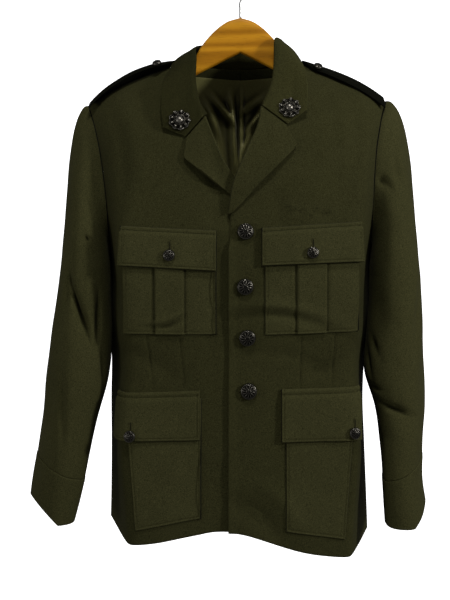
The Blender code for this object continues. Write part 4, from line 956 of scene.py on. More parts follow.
# Patch pockets on one front: the corners of the bag and of the flap.
Pocket = namedtuple("Pocket", "inner_x outer_x outer_foot_x top_inner top_outer foot_inner foot_outer")
BAG = {
    ("chest", LEFT): Pocket(38, 181, 181, -437, -429, -589, -584),
    ("chest", RIGHT): Pocket(37, 180, 179, -441, -435, -588, -588),
    ("lower", LEFT): Pocket(70, 177, 160, -684, -682, -888, -901),
    ("lower", RIGHT): Pocket(60, 177, 160, -686, -690, -868, -888),
}
FLAP = {
    ("chest", LEFT): Pocket(33, 185, 185, -425, -415, -483, -477),
    ("chest", RIGHT): Pocket(37, 182, 183, -429, -422, -491, -483),
    ("lower", LEFT): Pocket(63, 181, 181, -672, -669, -752, -750),
    ("lower", RIGHT): Pocket(62, 188, 193, -674, -679, -749, -752),
}
PLEAT_WIDTH = 43.0
PLEAT_RAISE = 2.6
BAG_WALL = 1.8
FLAP_STAND = {"chest": 5.2, "lower": 3.4}    # a flap's free edge stands this far off the front
CORNER_EASE = 0.9         # pockets and flaps stand off a little more near the front's corner
EDGE_SHADE_RADIUS = 0.75          # radius of the near-black tube of painted shade under their edges


def close_at_ends(count, dense, end=0.07):
    """Shares from 0 to 1 that lie closer together near both ends."""
    return np.unique(np.concatenate([np.linspace(0, end, dense), np.linspace(end, 1 - end, count),
                                     np.linspace(1 - end, 1, dense)]))


def pocket_size(pocket):
    return abs(pocket.outer_x - pocket.inner_x), abs(pocket.top_inner - pocket.foot_inner)


def sewn_edge(pocket, across, down):
    """The raised rim and the sunk line of sewing inside the sides and foot of a bag or flap."""
    width, deep = pocket_size(pocket)
    inside = np.minimum(np.minimum(across, 1 - across) * width, (1 - down) * deep)
    return 0.35 * hump(inside - 1.2, 1.3) - 0.6 * hump(inside - 4.0, 1.2)


def pocket_plan(side, pocket, across, down):
    """The plan of a bag or flap: rows from its top to its foot."""
    outer_x = pocket.outer_x + (pocket.outer_foot_x - pocket.outer_x) * down
    x = side * (pocket.inner_x + (outer_x - pocket.inner_x) * across)
    top = pocket.top_inner + (pocket.top_outer - pocket.top_inner) * across
    foot = pocket.foot_inner + (pocket.foot_outer - pocket.foot_inner) * across
    return np.stack([x, top + (foot - top) * down], axis=-1)


def corner_ease(plan):
    """How much further a pocket or flap stands off where the front turns its corner."""
    corner = column(BODY, "front_corner", plan[..., 1])
    return CORNER_EASE * np.clip(1 - (corner - np.abs(plan[..., 0])) / 40, 0, 1)


def insets(pocket, edge_mm, top_mm=0):
    """Corners, as (row share, column share), of a line this far inside a pocket's edges and top."""
    width, deep = pocket_size(pocket)
    left, right = edge_mm / width, 1 - edge_mm / width
    top, foot = top_mm / deep, 1 - edge_mm / deep
    return [(top, left), (foot, left), (foot, right), (top, right)]


def edge_shadow(name, plan, height=0.2):
    """A near-black tube of painted shade under the edges of a bag or flap: down one side, along the foot
    and up.
    """
    around = np.concatenate([plan[:, 0], plan[-1, 1:-1], plan[::-1, -1]])
    spots = raised(np.stack([around, around + 0.5], axis=1), height)
    return tube(name, spots[:, 0], EDGE_SHADE_RADIUS, "shadow")


def pleated_bag(bag):
    """Grid shares of a chest pocket, how far its cloth is slack, and its raised box pleat."""
    width = pocket_size(bag)[0]
    half = PLEAT_WIDTH / 2 / width
    step = 1.2 / width
    places = np.unique(np.concatenate([np.linspace(*span) for span in (
        (0, 0.08, 9), (0.08, 0.5 - half - step, 18), (0.5 - half, 0.5 + half, 18),
        (0.5 + half + step, 0.92, 18), (0.92, 1, 9))]))
    beside = np.abs(places - 0.5) - half
    pleat = np.where(beside < 0.2 * step, PLEAT_RAISE, -1.1 * hump((beside - 2.2 * step) * width, 2.0))
    down = close_at_ends(52, 10)[:, None]
    puff = 0.6 * np.sin(math.pi * down) * np.sin(math.pi * places) ** 2
    wave = 0.5 * np.sin(places * 9 + down * 4) * np.sin(down * 6 + 1) * np.sin(math.pi * places)
    return places, down, np.maximum(puff + wave, 0), pleat


def plain_bag(side):
    """Grid shares of a lower pocket, and how far its cloth is slack."""
    places = close_at_ends(42, 9)
    down = close_at_ends(62, 10, 0.05)[:, None]
    sag = np.sin(math.pi * down) * np.sin(math.pi * places)
    wave = 0.9 * np.sin(places * 7 + down * 5 + side) * np.sin(down * 7 + 1) * sag
    return places, down, 0.6 * sag + np.maximum(wave, -0.3), 0


def make_pocket(kind, side):
    """A patch bag, sewn down along its sides and foot."""
    bag = BAG[kind, side]
    places, down, slack, pleat = pleated_bag(bag) if kind == "chest" else plain_bag(side)
    plan = pocket_plan(side, bag, places, down)
    out = corner_ease(plan) + slack
    under = raised(plan, SEAM + np.maximum(out, 0) * 0.6)
    over = raised(plan, SEAM + BAG_WALL + out + pleat + sewn_edge(bag, places, down))
    name = SIDE_NAMES[side]
    made = shell("tunic_%s_pocket_%s" % (kind, name), over, under, "pocket_wool")
    edge_shadow("%s_pocket_edge_%s" % (kind, name), plan)
    run = trace(over, TOWARDS, insets(bag, 2.6 if kind == "chest" else 2.8))
    return made, stitches("%s_pocket_stitches_%s" % (kind, name), [run])


def make_flap(kind, side):
    """A flap that is sewn down along its top and stands off towards its foot."""
    flap, stand = FLAP[kind, side], FLAP_STAND[kind]
    places = close_at_ends(60, 9)
    down = close_at_ends(30, 11, 0.12)[:, None]
    plan = pocket_plan(side, flap, places, down)
    seam = 0.9 * hump(down - 0.05, 0.025) - 1.1 * hump(down - 0.11, 0.02)
    curl = 1.2 * down ** 3 * np.sin(places * 6.5 + 2.4 * side + (2 if kind == "chest" else 0))
    button = 0.5 * hump(places - 0.5, 0.12) * down
    lift = SEAM + stand * np.minimum(down * 5, 1) + 0.6 * down + np.maximum(curl, -0.4) - button
    lift = lift + corner_ease(plan)
    over = raised(plan, lift + DOUBLED + seam + sewn_edge(flap, places, down))
    name = SIDE_NAMES[side]
    made = shell("tunic_%s_flap_%s" % (kind, name), over, raised(plan, lift), "pocket_wool")
    edge_shadow("%s_flap_edge_%s" % (kind, name), plan, stand)
    runs = [trace(over, TOWARDS, corners)
            for corners in (insets(flap, 3.4, 5.8), [(0.085, 0.01), (0.085, 0.99)])]
    return made, stitches("%s_flap_stitches_%s" % (kind, name), runs)


# ---- straps and lining

# Shoulder straps, from the point by the collar to the armhole seam: how high each lies above the
# shoulder ridge, and its half width.
Strap = namedtuple("Strap", "x lift half_width")
STRAP = {
    RIGHT: named(Strap, (106, 5, 9), (122, 8.5, 20), (140, 11.5, 23), (170, 13, 25), (205, 10, 26.5),
                 (230, 6, 27.5), (247, 1.2, 28)),
    LEFT: named(Strap, (102, 4, 8), (117, 4.6, 20), (140, 5, 23), (170, 5, 25), (200, 4, 26.5),
                (236, 1.2, 28)),
}
STRAP_FALL = {RIGHT: 12.0, LEFT: 21.0}  # how far a strap's edge hangs below its ridge at full width
STRAP_WIDEST = 28.0
LINING_ROWS, LINING_COLUMNS = 130, 116
LINING_REACH, LINING_TOP_REACH = 190.0, 150.0
LINING_GAIN = 2.1         # what the heights of its folds are multiplied by
LINING_HEM = 30.0         # its foot is this far above the hem,
LINING_TOP_Z = -168.0     # and its top at this level, or this far below the shoulder ridge
LINING_DROP = 14.0
LINING_EASE = 4.0         # the lining hangs this far inside the backs,
LINING_TOP_EASE = 2.0     # and is sewn close to them along its top
LINING_CREASES = named(
    Crease,
    (-14, -250, 4, 80, 6, 7.0), (-34, -215, 38, 34, 6, 7.0), (-50, -240, 20, 30, 7, 6.0),
    (26, -205, -56, 26, 6, 6.0), (34, -232, -44, 30, 6, 6.0), (18, -262, -24, 44, 6, 6.0),
    (-8, -300, 6, 60, 8, 5.0), (-40, -300, 8, 60, 9, 5.0), (60, -260, -18, 46, 9, 5.0),
    (-70, -420, 6, 150, 16, 6.0), (60, -500, -5, 170, 18, 6.0), (0, -650, 3, 180, 20, 5.0),
    (120, -640, -6, 150, 18, 5.0), (-130, -660, 5, 150, 18, 5.0))


def strap_point(side, x, y):
    """A point on top of a strap."""
    lift = column(STRAP[side], "lift", x, key="x")
    return ridge_z(x) + lift + DOUBLED - STRAP_FALL[side] * (y / STRAP_WIDEST) ** 2


def make_strap(side):
    """A strap that arches over the shoulder, from its point by the collar to the armhole."""
    x = np.linspace(STRAP[side][0].x, STRAP[side][-1].x, 64)[:, None]
    y = column(STRAP[side], "half_width", x, key="x") * np.linspace(-1, 1, 30)
    outer = np.stack([np.broadcast_to(side * x, y.shape), y, strap_point(side, x, y)], axis=-1)
    up = (0, 0, 1)
    name = SIDE_NAMES[side]
    made = wall("tunic_strap_" + name, outer, DOUBLED, up, "strap_wool")
    run = trace(outer, up, [(0.99, 0.12), (0.13, 0.12), (0.05, 0.5), (0.13, 0.88), (0.99, 0.88)])
    return made, stitches("strap_stitches_" + name, [run], "strap_thread")


def make_lining():
    """The back lining, with its pleat down the middle and the soft folds that hang from it."""
    levels = np.linspace(0, 1, LINING_ROWS) ** 0.7
    foot = HEM_Z + LINING_HEM
    plan = []
    for up in levels:
        x = np.linspace(-1, 1, DENSE) * (LINING_REACH + (LINING_TOP_REACH - LINING_REACH) * up ** 3)
        top = np.minimum(ridge_z(x) - LINING_DROP, LINING_TOP_Z)
        plan.append(np.stack([x, foot + (top - foot) * up], axis=1))
    base = spaced_rows(back_y, np.array(plan), LINING_COLUMNS)
    x, z = base[..., 0], base[..., 2]
    fold = 3.2 * hump(x - 2, 3.0) - 2.4 * hump(x + 6, 5.0)
    for crease in LINING_CREASES:
        fold += crease.height * trough(crease, x - crease.x, crease.z - z)
    fold = LINING_GAIN * fold + np.sin(x / 13 + z / 90)
    apart = LINING_EASE + (LINING_TOP_EASE - LINING_EASE) * (levels ** 16)[:, None]
    push = WOOL + apart + np.maximum(fold * ease((-172 - z) / 50), -0.8)
    normals = facing(base, -TOWARDS)
    outer = base - normals * push[..., None]
    return shell("tunic_lining_back", outer, outer - normals * SATIN, "satin")


# ---- buttons and badges

FRONT_BUTTONS = named(Point, (8, -431), (7.5, -515), (11, -593), (13, -675))
FLAP_BUTTONS = {("chest", LEFT): Point(110, -463), ("chest", RIGHT): Point(-108, -467),
                ("lower", LEFT): Point(174, -738), ("lower", RIGHT): Point(-168, -743)}
STRAP_BUTTONS = {RIGHT: (135, -22.0), LEFT: (126, -18.0)}    # X and Y of each
FRONT_BUTTON_RADIUS = 12.7
POCKET_BUTTON_RADIUS = 9.0
STRAP_BUTTON_RADIUS = 7.5
FRONT_BUTTON_DOME, SMALL_BUTTON_DOME = 7.0, 5.0
STEM_SHARE = 0.3          # a button's stem is this share of its radius
STEM_HEIGHT = 1.6
BUTTONHOLE_RISE = 15.0    # a flap's buttonhole lies this far above its button
AHEAD_Y = -400.0          # well ahead of everything
BUTTON_SIDES = 96
FLUTES = 12
BADGES = {LEFT: Point(77, -238), RIGHT: Point(-94.5, -258)}
BADGE_RADIUS = 17.5
BADGE_PETALS = 9
BADGE_SIDES = 180
BADGE_EDGE, BADGE_FLOOR = 1.6, 2.4    # heights of the petals' rim and of the floor inside the cord
BOSS_SHARE, BOSS_SEAT, BOSS_RISE = 0.36, 1.9, 4.9
CORD_TURNS, BADGE_CORD_TURNS = 36, 30


def rest_on(carrier, x, z, radius):
    """Where a disc rests on the front of a piece: the middle of its back, and the way it faces."""
    tree = BVHTree.FromPolygons([v.co / MM for v in carrier.data.vertices],
                                [tuple(p.vertices) for p in carrier.data.polygons])
    starts = [(x + reach * math.cos(angle), AHEAD_Y, z + reach * math.sin(angle))
              for reach in (0, 0.5 * radius, radius) for angle in circle(12)]
    hits = [tree.ray_cast(Vector(start), Vector((0, 1, 0)))[0] for start in starts]
    points = np.array([hit for hit in hits if hit is not None])
    middle = points.mean(axis=0)
    normal = np.linalg.svd(points - middle)[2][2]
    normal *= -np.sign(normal[1])
    height = np.max((points - middle) @ normal) + SEAM
    return Vector(middle + normal * height), Vector(normal)


def step(at, width):
    """A soft step from 0 to 1, for one number."""
    return float(ease(at / width))


def make_button(node_name, radius, dome, seat, normal):
    """A shanked button: foot, stem, back, and a dome with a cord round its rim, flutes and a boss."""
    stem = radius * STEM_SHARE
    back = STEM_HEIGHT + 1.5
    profile = [(0, 0), (stem, 0), (stem, STEM_HEIGHT), (radius * 0.9, STEM_HEIGHT + 0.2),
               (radius * 0.97, STEM_HEIGHT + 0.6), (radius, back)]
    for share in np.linspace(0.985, 0.02, 28):
        profile.append((radius * share, back + (dome - 0.5) * math.sqrt(1 - share ** 2)))
    profile.append((0, back + dome - 0.5))

    def ripple(reach, height, angle):
        share = reach / radius
        cord = hump(share - 0.9, 0.045) * (0.45 + 0.25 * math.cos(CORD_TURNS * angle + 40 * share))
        groove = -0.35 * hump(share - 0.8, 0.03)
        on_dome = step(share - 0.3, 0.08) * step(0.77 - share, 0.08)
        flute = -0.55 * on_dome * abs(math.sin(FLUTES / 2 * angle + 1.3 * share))
        boss = 0.4 * step(0.3 - share, 0.06)
        facing_up = step(height - STEM_HEIGHT - 1.0, 0.8)
        lift = (cord + groove + flute + boss - 0.1) * facing_up
        return reach, height + lift * radius / FRONT_BUTTON_RADIUS

    made = turned("tunic_" + node_name, profile, BUTTON_SIDES, seat, normal, "bronze", ripple)
    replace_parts(made, node_name)


def make_front_buttons(carrier):
    """The front buttons, each in its worked hole in the left front."""
    for number, place in enumerate(FRONT_BUTTONS, start=1):
        seat, normal = rest_on(carrier, place.x, place.z, FRONT_BUTTON_RADIUS * STEM_SHARE)
        make_button("front_button_%d" % number, FRONT_BUTTON_RADIUS, FRONT_BUTTON_DOME, seat, normal)
        buttonhole("front_buttonhole_%d" % number, seat - Vector((1.5, 0, 0)), (1, 0, 0), normal,
                   length=27.0, width=2.4)


def make_flap_button(kind, side, flap):
    """A flap's button, and the worked hole above it, whose pieces are returned."""
    place = FLAP_BUTTONS[kind, side]
    seat, normal = rest_on(flap, place.x, place.z, POCKET_BUTTON_RADIUS * STEM_SHARE)
    make_button("%s_button_%s" % (kind, SIDE_NAMES[side]), POCKET_BUTTON_RADIUS, SMALL_BUTTON_DOME,
                seat, normal)
    above, outwards = rest_on(flap, place.x + 1, place.z + BUTTONHOLE_RISE, 5)
    return buttonhole("%s_buttonhole_%s" % (kind, SIDE_NAMES[side]), above, (0, 0, 1), outwards)


def make_strap_buttons():
    """A button near the point of each strap, square to the strap's slope."""
    for side, (x, y) in STRAP_BUTTONS.items():
        normal = Vector((side * 0.3, 2 * STRAP_FALL[side] * y / STRAP_WIDEST ** 2, 1)).normalized()
        crest = Vector((side * x, y, float(strap_point(side, x, y))))
        seat = crest + normal * (SEAM + 0.12 * STRAP_BUTTON_RADIUS * STEM_SHARE)
        make_button("strap_button_" + SIDE_NAMES[side], STRAP_BUTTON_RADIUS, SMALL_BUTTON_DOME,
                    seat, normal)


def make_badge(side, collar):
    """A round badge with nine crowned petals, a cord ring and a plain boss."""
    radius = BADGE_RADIUS
    profile = [(0, 0), (radius * 0.98, 0), (radius, 0.5), (radius, 1.2),
               (radius * 0.97, BADGE_EDGE)]
    for share in np.linspace(0.94, 0.5, 16):
        profile.append((radius * share, BADGE_EDGE + (0.97 - share) / 0.47))
    for share in [*np.linspace(0.48, 0.1, 9), 0]:
        profile.append((radius * share, BADGE_FLOOR))

    def petals(reach, height, angle):
        share = reach / radius
        swing = 0.5 - 0.5 * math.cos(BADGE_PETALS * angle)
        outer = step(share - 0.5, 0.3)
        crown = 1.1 * (1 - swing) * outer * step(height - 0.8, 0.8)
        vein = -0.35 * hump(math.sin(BADGE_PETALS / 2 * angle), 0.12) * outer
        cord = 0.7 * hump(share - 0.445, 0.035) * (1 + 0.35 * math.cos(BADGE_CORD_TURNS * angle))
        return reach * (1 - 0.12 * swing * outer), height + crown + vein * (height > 1) + cord

    seat, normal = rest_on(collar, *BADGES[side], radius)
    node_name = "badge_" + SIDE_NAMES[side]
    badge = turned("tunic_" + node_name, profile, BADGE_SIDES, seat, normal, "bronze", petals)
    boss = [(0, BOSS_SEAT - 0.1)]
    for turn in np.linspace(0, math.pi / 2, 18):
        boss.append((radius * BOSS_SHARE * math.cos(turn), BOSS_SEAT + BOSS_RISE * math.sin(turn)))
    turned("tunic_%s_boss" % node_name, boss, BUTTON_SIDES, seat, normal, "worn_bronze")
    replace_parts(badge, node_name)


# ---- hanger

# The arm's top and bottom edges, from the middle outwards.
Arm = namedtuple("Arm", "x top bottom half_thickness")
ARMS = named(
    Arm,
    (0, -77, -135, 7.0), (23, -84.5, -146, 7.0), (46, -102.5, -158, 7.0), (64, -124, -167, 7.0),
    (78, -147, -175, 7.0), (90, -159.6, -184, 7.0), (120, -165.8, -197, 7.0), (155, -178.8, -212, 7.2),
    (195, -197.0, -230, 7.4), (212, -207.6, -232, 6.6))
ARM_END, ARM_END_REACH = 205, 8    # where an arm starts to round off, and how far that reaches
HOOK_WIRE = 4.0
HOOK_INNER = 21.0         # radius inside the hook
HOOK_START, HOOK_END = -78, 205    # the bend's ends, in degrees from +X round over the top


def rounded(ring, rounds=3):
    """A closed ring of corners with its corners cut off, over and over."""
    for _ in range(rounds):
        after = np.roll(ring, -1, axis=0)
        ring = np.stack([0.75 * ring + 0.25 * after, 0.25 * ring + 0.75 * after], axis=1).reshape(-1, 3)
    return ring


def make_hanger():
    """A flat wooden hanger with rounded edges, lofted from one end to the other."""
    rings = []
    for x in np.linspace(-ARMS[-1].x, ARMS[-1].x, 141):
        top, bottom, thick = (float(column(ARMS, name, abs(x), key="x")) for name in Arm._fields[1:])
        end = math.sqrt(max(1 - max(0, (abs(x) - ARM_END) / ARM_END_REACH) ** 2, 0.05))
        middle = (top + bottom) / 2
        thick = thick * end
        top = middle + (top - middle) * (0.5 + 0.5 * end)
        bottom = middle + (bottom - middle) * (0.5 + 0.5 * end)
        half = [(thick * 0.5, top), (thick, top - thick * 0.8), (thick, middle),
                (thick, bottom + thick * 0.5), (thick * 0.6, bottom)]
        other = [(-y, z) for y, z in half[::-1]]
        rings.append(rounded(np.array([(x, y, z) for y, z in half + other])))
    rings = np.array(rings)
    return piece("wooden_hanger", rings.reshape(-1, 3), ring_faces(*rings.shape[:2]), "wood", sharp=50)


def make_hook():
    """A wire hook: a stem, and a bend whose inside top is the origin."""
    radius = HOOK_INNER + HOOK_WIRE / 2
    foot = ARMS[0].top + SEAM
    points = [(0, 0, foot), (0, 0, foot + 12), (0, 0, foot + 24)]
    for angle in np.radians(range(HOOK_START, HOOK_END + 1, 12)):
        points.append((radius * math.cos(angle), 0, -HOOK_INNER + radius * math.sin(angle)))
    line = soft_line(points, 130)
    thick = np.full(len(line), HOOK_WIRE / 2)
    thick[-3:] *= (0.92, 0.75, 0.4)
    return tube("wire_hook", line, thick, "steel", sides=20)


# ---- materials

def base(name, **sockets):
    """A Principled material with its plain sockets set, and its tree and shader."""
    made = bpy.data.materials.new("tunic_" + name)
    made.use_nodes = True
    shader = made.node_tree.nodes["Principled BSDF"]
    for socket, value in sockets.items():
        shader.inputs[socket.replace("_", " ")].default_value = value
    return made, made.node_tree, shader


def node(tree, kind, links=(), **values):
    """A node whose inputs are set by name, or linked from other nodes' outputs."""
    made = tree.nodes.new("ShaderNode" + kind)
    for name, value in values.items():
        if hasattr(made, name):
            setattr(made, name, value)
        else:
            made.inputs[name.replace("_", " ")].default_value = value
    for name, output in links:
        tree.links.new(output, made.inputs[name])
    return made


def placed(tree, scale=(1, 1, 1), turn=(0, 0, 0)):
    """Object coordinates, stretched and turned."""
    where = node(tree, "TexCoord").outputs["Object"]
    return node(tree, "Mapping", [("Vector", where)], Scale=scale, Rotation=turn).outputs[0]


def noise(tree, scale, detail=3.0, stretch=(1, 1, 1)):
    where = placed(tree, stretch)
    return node(tree, "TexNoise", [("Vector", where)], Scale=scale, Detail=detail).outputs[0]


def bends(tree):
    """How sharply the surface bends: low in hollows, high on edges."""
    return node(tree, "NewGeometry").outputs["Pointiness"]


def ramp(tree, factor, *stops):
    """Colours or greys along a factor, from (place, colour) stops."""
    made = node(tree, "ValToRGB", [("Fac", factor)])
    elements = made.color_ramp.elements
    while len(elements) < len(stops):
        elements.new(0.5)
    for element, (place, colour) in zip(elements, stops):
        element.position = place
        element.color = (*colour, 1) if isinstance(colour, tuple) else (colour, colour, colour, 1)
    return made.outputs[0]


def mix(tree, a, b, how="MULTIPLY", factor=1.0):
    """Two colours mixed; the factor is a number or an output."""
    made = node(tree, "Mix", data_type="RGBA", blend_type=how)
    if isinstance(factor, float):
        made.inputs[0].default_value = factor
    else:
        tree.links.new(factor, made.inputs[0])
    tree.links.new(a, made.inputs[6])
    tree.links.new(b, made.inputs[7])
    return made.outputs[2]


def bump(tree, height, strength, distance, below=None):
    links = [("Height", height)] + ([("Normal", below)] if below else [])
    return node(tree, "Bump", links, Strength=strength, Distance=distance).outputs[0]


def finished(made, shader, colour, normal, roughness=None):
    """A material with its colour, its fine relief and maybe its roughness linked to the shader."""
    for socket, output in (("Base Color", colour), ("Normal", normal), ("Roughness", roughness)):
        if output:
            made.node_tree.links.new(output, shader.inputs[socket])
    return made


TWILL_PITCH = 1.3 * MM


def twill(tree):
    """Diagonal ribs of a twill weave, a little broken up."""
    return node(tree, "TexWave", [("Vector", placed(tree, turn=(0, 0.4, 0)))], wave_type="BANDS",
                bands_direction="DIAGONAL", Scale=0.36 / TWILL_PITCH, Distortion=1.5, Detail=1.0,
                Detail_Scale=3.0).outputs[1]


def wool_material(name, dark, light, sheen=0.006, side_shade=()):
    """Worsted wool: a mottle of fibres on a fine twill, with painted shade in creases, paler on sharp
    edges.
    """
    made, tree, shader = base(name, Roughness=0.9, Sheen_Weight=sheen, Sheen_Roughness=0.45,
                              Specular_IOR_Level=0.01)
    fibres = ramp(tree, noise(tree, 850, 2.0), (0.30, dark), (0.70, light))
    mottled = mix(tree, fibres, ramp(tree, noise(tree, 7), (0.3, 0.86), (0.7, 1.0)))
    ribbed = mix(tree, mottled, ramp(tree, twill(tree), (0.2, 0.88), (0.8, 1.0)))
    # painted shade: the colour is darkened where the surface is hollow, in creases, grooves and seams
    shaded = mix(tree, ribbed, ramp(tree, bends(tree), (0.44, 0.25), (0.492, 1.0)))
    # painted shade: where given, this ramp over X darkens one side of the piece
    if side_shade:
        across = node(tree, "SeparateXYZ", [("Vector", placed(tree))]).outputs["X"]
        shaded = mix(tree, shaded, ramp(tree, across, *side_shade))
    # the colour turns paler on sharp edges and ridges
    pale = ramp(tree, noise(tree, 300, 2.0), (0.2, light), (0.8, tuple(1.2 * c for c in light)))
    edge_lightening = ramp(tree, bends(tree), (0.53, 0.0), (0.62, 0.7))
    weave = bump(tree, twill(tree), 0.35, 0.25 * MM)
    nap = bump(tree, noise(tree, 900), 0.5, 0.3 * MM, weave)
    return finished(made, shader, mix(tree, shaded, pale, "MIX", edge_lightening),
                    bump(tree, noise(tree, 60), 0.35, 0.8 * MM, nap))


def satin_material():
    """Viscose satin: a soft gloss, fine threads across it and small puckers, with painted shade in its
    hollows.
    """
    made, tree, shader = base("satin", Sheen_Weight=0.06, Sheen_Roughness=0.35, Specular_IOR_Level=0.35,
                              Specular_Tint=(1.0, 0.94, 0.62, 1))
    threads = noise(tree, 260, 2.0, (6, 6, 0.6))
    colour = ramp(tree, threads, (0.3, (0.092, 0.087, 0.029)), (0.7, (0.152, 0.143, 0.052)))
    # painted shade: darker in the hollows of the folds
    hollow = ramp(tree, bends(tree), (0.455, 0.05), (0.496, 1.0))
    gloss = ramp(tree, noise(tree, 30, 2.0), (0.3, 0.36), (0.7, 0.5))
    fine = bump(tree, threads, 0.2, 0.2 * MM)
    return finished(made, shader, mix(tree, colour, hollow),
                    bump(tree, noise(tree, 45), 0.4, 1.2 * MM, fine), gloss)


def thread_material(name, colour):
    """Sewing thread: a soft twisted yarn."""
    made, tree, shader = base(name, Roughness=0.8, Specular_IOR_Level=0.04)
    strand = ramp(tree, noise(tree, 1500, 2.0), (0.3, colour), (0.7, tuple(1.3 * c for c in colour)))
    return finished(made, shader, strand, bump(tree, noise(tree, 1800, 1.0), 0.4, 0.1 * MM))


def metal_material(name, hollow, face, edge, rough):
    """Metal that is dark in its hollows, rubbed bright on its edges, and lightly scratched."""
    made, tree, shader = base(name, Metallic=1.0)
    colour = ramp(tree, bends(tree), (0.44, hollow), (0.50, face), (0.58, edge))
    patina = ramp(tree, noise(tree, 120, 4.0), (0.3, 0.7), (0.7, 1.0))
    tarnish = ramp(tree, noise(tree, 260, 4.0), (0.3, rough), (0.7, rough + 0.16))
    scratch = noise(tree, 900, 2.0, (1, 1, 6))
    return finished(made, shader, mix(tree, colour, patina, factor=0.7),
                    bump(tree, scratch, 0.15, 0.1 * MM), tarnish)


def wood_material():
    """Varnished beech: grain along the arms, fine pores and a soft gloss."""
    made, tree, shader = base("wood", Coat_Weight=0.03, Coat_Roughness=0.25, Specular_IOR_Level=0.12)
    rings = node(tree, "TexWave", [("Vector", placed(tree, (2.2, 14, 14)))], wave_type="BANDS",
                 bands_direction="Z", Scale=0.9, Distortion=7.0, Detail=3.0, Detail_Scale=1.4).outputs[1]
    grain = ramp(tree, rings, (0.0, (0.28, 0.112, 0.003)), (0.5, (0.36, 0.150, 0.004)),
                 (1.0, (0.44, 0.195, 0.006)))
    pores = ramp(tree, noise(tree, 90, stretch=(0.8, 9, 9)), (0.30, 0.70), (0.45, 1.0))
    return finished(made, shader, mix(tree, grain, pores, factor=0.8), bump(tree, pores, 0.2, 0.15 * MM),
                    ramp(tree, rings, (0.0, 0.38), (1.0, 0.5)))


# The materials, by the name that each piece asks for.
MATERIALS = {
    "wool": wool_material("wool", (0.0135, 0.0131, 0.0047), (0.0430, 0.0418, 0.0158)),
    # painted light: a lighter copy of the wool for the pockets and flaps, which stand in more light
    "pocket_wool": wool_material("pocket_wool", (0.0188, 0.0181, 0.0068), (0.057, 0.0553, 0.0215)),
    # painted light: a lighter copy of the wool for the sleeves and cuffs, which stand in more light
    "sleeve_wool": wool_material("sleeve_wool", (0.0182, 0.0175, 0.0064), (0.0555, 0.0538, 0.0203)),
    # painted light and shade: a slightly lighter copy of the wool, darkened over the wearer's right side
    # of the collar, which lies in shade
    "collar_wool_shaded": wool_material("collar_wool_shaded", (0.0143, 0.0139, 0.0048), (0.0456, 0.0443, 0.0154),
                                 side_shade=[(0.0, 0.56), (0.07, 1.0)]),
    # painted shade: the same olive cloth as the tunic, near-black because the strap's underside lies in
    # shade
    "strap_wool": wool_material("strap_wool", (0.0022, 0.0023, 0.0014), (0.0066, 0.0068, 0.0044), 0.0),
    "satin": satin_material(),
    "thread": thread_material("thread", (0.026, 0.025, 0.009)),
    # painted shade: the strap's thread, darkened along with the strap
    "strap_thread": thread_material("strap_thread", (0.010, 0.011, 0.007)),
    # painted shade: near-black, for the tubes that stand for shade in seams, under edges and in slits
    "shadow": thread_material("shadow", (0.004, 0.004, 0.003)),
    "bronze": metal_material("bronze", (0.0015, 0.0014, 0.0011), (0.0075, 0.0068, 0.0053),
                             (0.24, 0.225, 0.19), 0.22),
    "worn_bronze": metal_material("worn_bronze", (0.02, 0.018, 0.015), (0.13, 0.12, 0.10),
                                  (0.42, 0.39, 0.34), 0.24),
    "wood": wood_material(),
    "steel": metal_material("steel", (0.20, 0.20, 0.20), (0.52, 0.52, 0.51), (0.75, 0.75, 0.74), 0.22),
}


# ---- camera, stage and light

PIXEL = 1.528             # millimetres to a pixel at the tunic's front
FRONT_Y = -110.0
CAMERA_REACH = 1350.0     # from the camera to the tunic's front
CAMERA_Z = -440.0
EYE_PIXEL = (240.3, 237.6)    # where the camera's level axis meets the picture
PICTURE = (450, 600)

# Lights: their places and aims in metres, the side of the square, and the power in watts.
Light = namedtuple("Light", "name place aim size power")
LIGHTS = named(Light, ("key", (2.4, -1.5, 0.3), (0, 0, -0.5), 0.32, 54),
               ("front", (0.1, -1.3, 1.6), (0, 0, -0.3), 0.25, 26),
               ("fill", (-2.2, -1.3, -0.5), (0, 0, -0.6), 0.8, 11))
WORLD_STRENGTH = 0.26
FLOOR_Z, SWEEP_START, SWEEP_TURN, SWEEP_TOP, SWEEP_HALF = -1.75, 1.0, 0.9, 1.2, 1.35    # in metres


def make_camera():
    """A level camera whose frame is shifted to the photograph's."""
    data = bpy.data.cameras.new("camera")
    data.sensor_fit = "VERTICAL"
    data.sensor_height = 24
    data.lens = CAMERA_REACH / PIXEL * data.sensor_height / PICTURE[1]
    data.shift_x = (PICTURE[0] / 2 - EYE_PIXEL[0]) / PICTURE[1]
    data.shift_y = (EYE_PIXEL[1] - PICTURE[1] / 2) / PICTURE[1]
    made = link("camera", data)
    made.location = Vector((0, FRONT_Y - CAMERA_REACH, CAMERA_Z)) * MM
    made.rotation_euler = (math.pi / 2, 0, 0)
    bpy.context.scene.camera = made


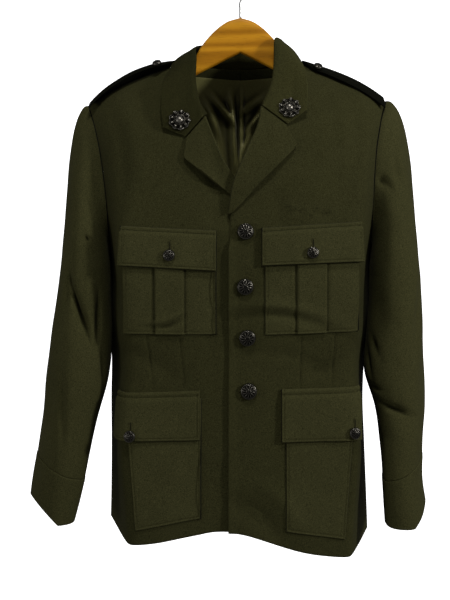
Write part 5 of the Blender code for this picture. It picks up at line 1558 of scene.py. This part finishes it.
def make_stage():
    """A white sweep: a floor that curves up into a backdrop, and throws no light on the tunic."""
    profile = [(-3.0, FLOOR_Z), (SWEEP_START, FLOOR_Z)]
    for turn in np.linspace(0, math.pi / 2, 13)[1:]:
        profile.append((SWEEP_START + SWEEP_TURN * math.sin(turn),
                        FLOOR_Z + SWEEP_TURN * (1 - math.cos(turn))))
    profile.append((SWEEP_START + SWEEP_TURN, SWEEP_TOP))
    points = [(x, y, z) for x in (-SWEEP_HALF, SWEEP_HALF) for y, z in profile]
    count = len(profile)
    mesh = bpy.data.meshes.new("sweep")
    mesh.from_pydata(points, [], [[k, k + 1, count + k + 1, count + k] for k in range(count - 1)])
    mesh.shade_smooth()
    sweep = link("sweep", mesh)
    made, tree, shader = base("sweep_paper", Roughness=0.9, Emission_Strength=1.0,
                              Emission_Color=(1, 1, 1, 1))
    paper = ramp(tree, noise(tree, 40, 2.0), (0.0, 0.90), (1.0, 0.94))
    tree.links.new(paper, shader.inputs["Base Color"])
    mesh.materials.append(made)
    sweep.visible_diffuse = False
    sweep.visible_glossy = False


def make_lights():
    for light in LIGHTS:
        data = bpy.data.lights.new(light.name, "AREA")
        data.size = light.size
        data.energy = light.power
        made = link(light.name, data)
        made.location = light.place
        aim = Vector(light.aim) - Vector(light.place)
        made.rotation_euler = aim.to_track_quat("-Z", "Y").to_euler()
    world = bpy.data.worlds.new("studio")
    world.use_nodes = True
    background = world.node_tree.nodes["Background"]
    background.inputs["Color"].default_value = (1, 1, 1, 1)
    background.inputs["Strength"].default_value = WORLD_STRENGTH
    bpy.context.scene.world = world
    bpy.context.scene.view_settings.view_transform = "Standard"


# ---- the whole tunic


def declare(made, with_pieces=()):
    """A piece of cloth stands for its node."""
    node_name = made.name.removeprefix("tunic_")
    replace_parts(made, node_name)


def main():
    make_camera()
    collar = make_collar()
    declare(collar)
    for side in (RIGHT, LEFT):
        front = make_front(side)
        for made in (front, make_back(side), *make_sleeve(side)):
            declare(made)
        cuff, sewn = make_cuff(side)
        declare(cuff, [sewn])
        declare(make_lapel(side))
        for kind in ("chest", "lower"):
            bag, sewn = make_pocket(kind, side)
            declare(bag, [sewn])
        strap, sewn = make_strap(side)
        declare(strap, [sewn])
        for kind in ("chest", "lower"):
            flap, sewn = make_flap(kind, side)
            declare(flap, [sewn] + make_flap_button(kind, side, flap))
        make_badge(side, collar)
    make_front_buttons(front)
    make_strap_buttons()
    thread_ends("unpicked_threads", LOOSE_THREADS)
    declare(make_lining())
    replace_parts(make_hanger(), "hanger")
    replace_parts(make_hook(), "hook")
    make_stage()
    make_lights()


main()
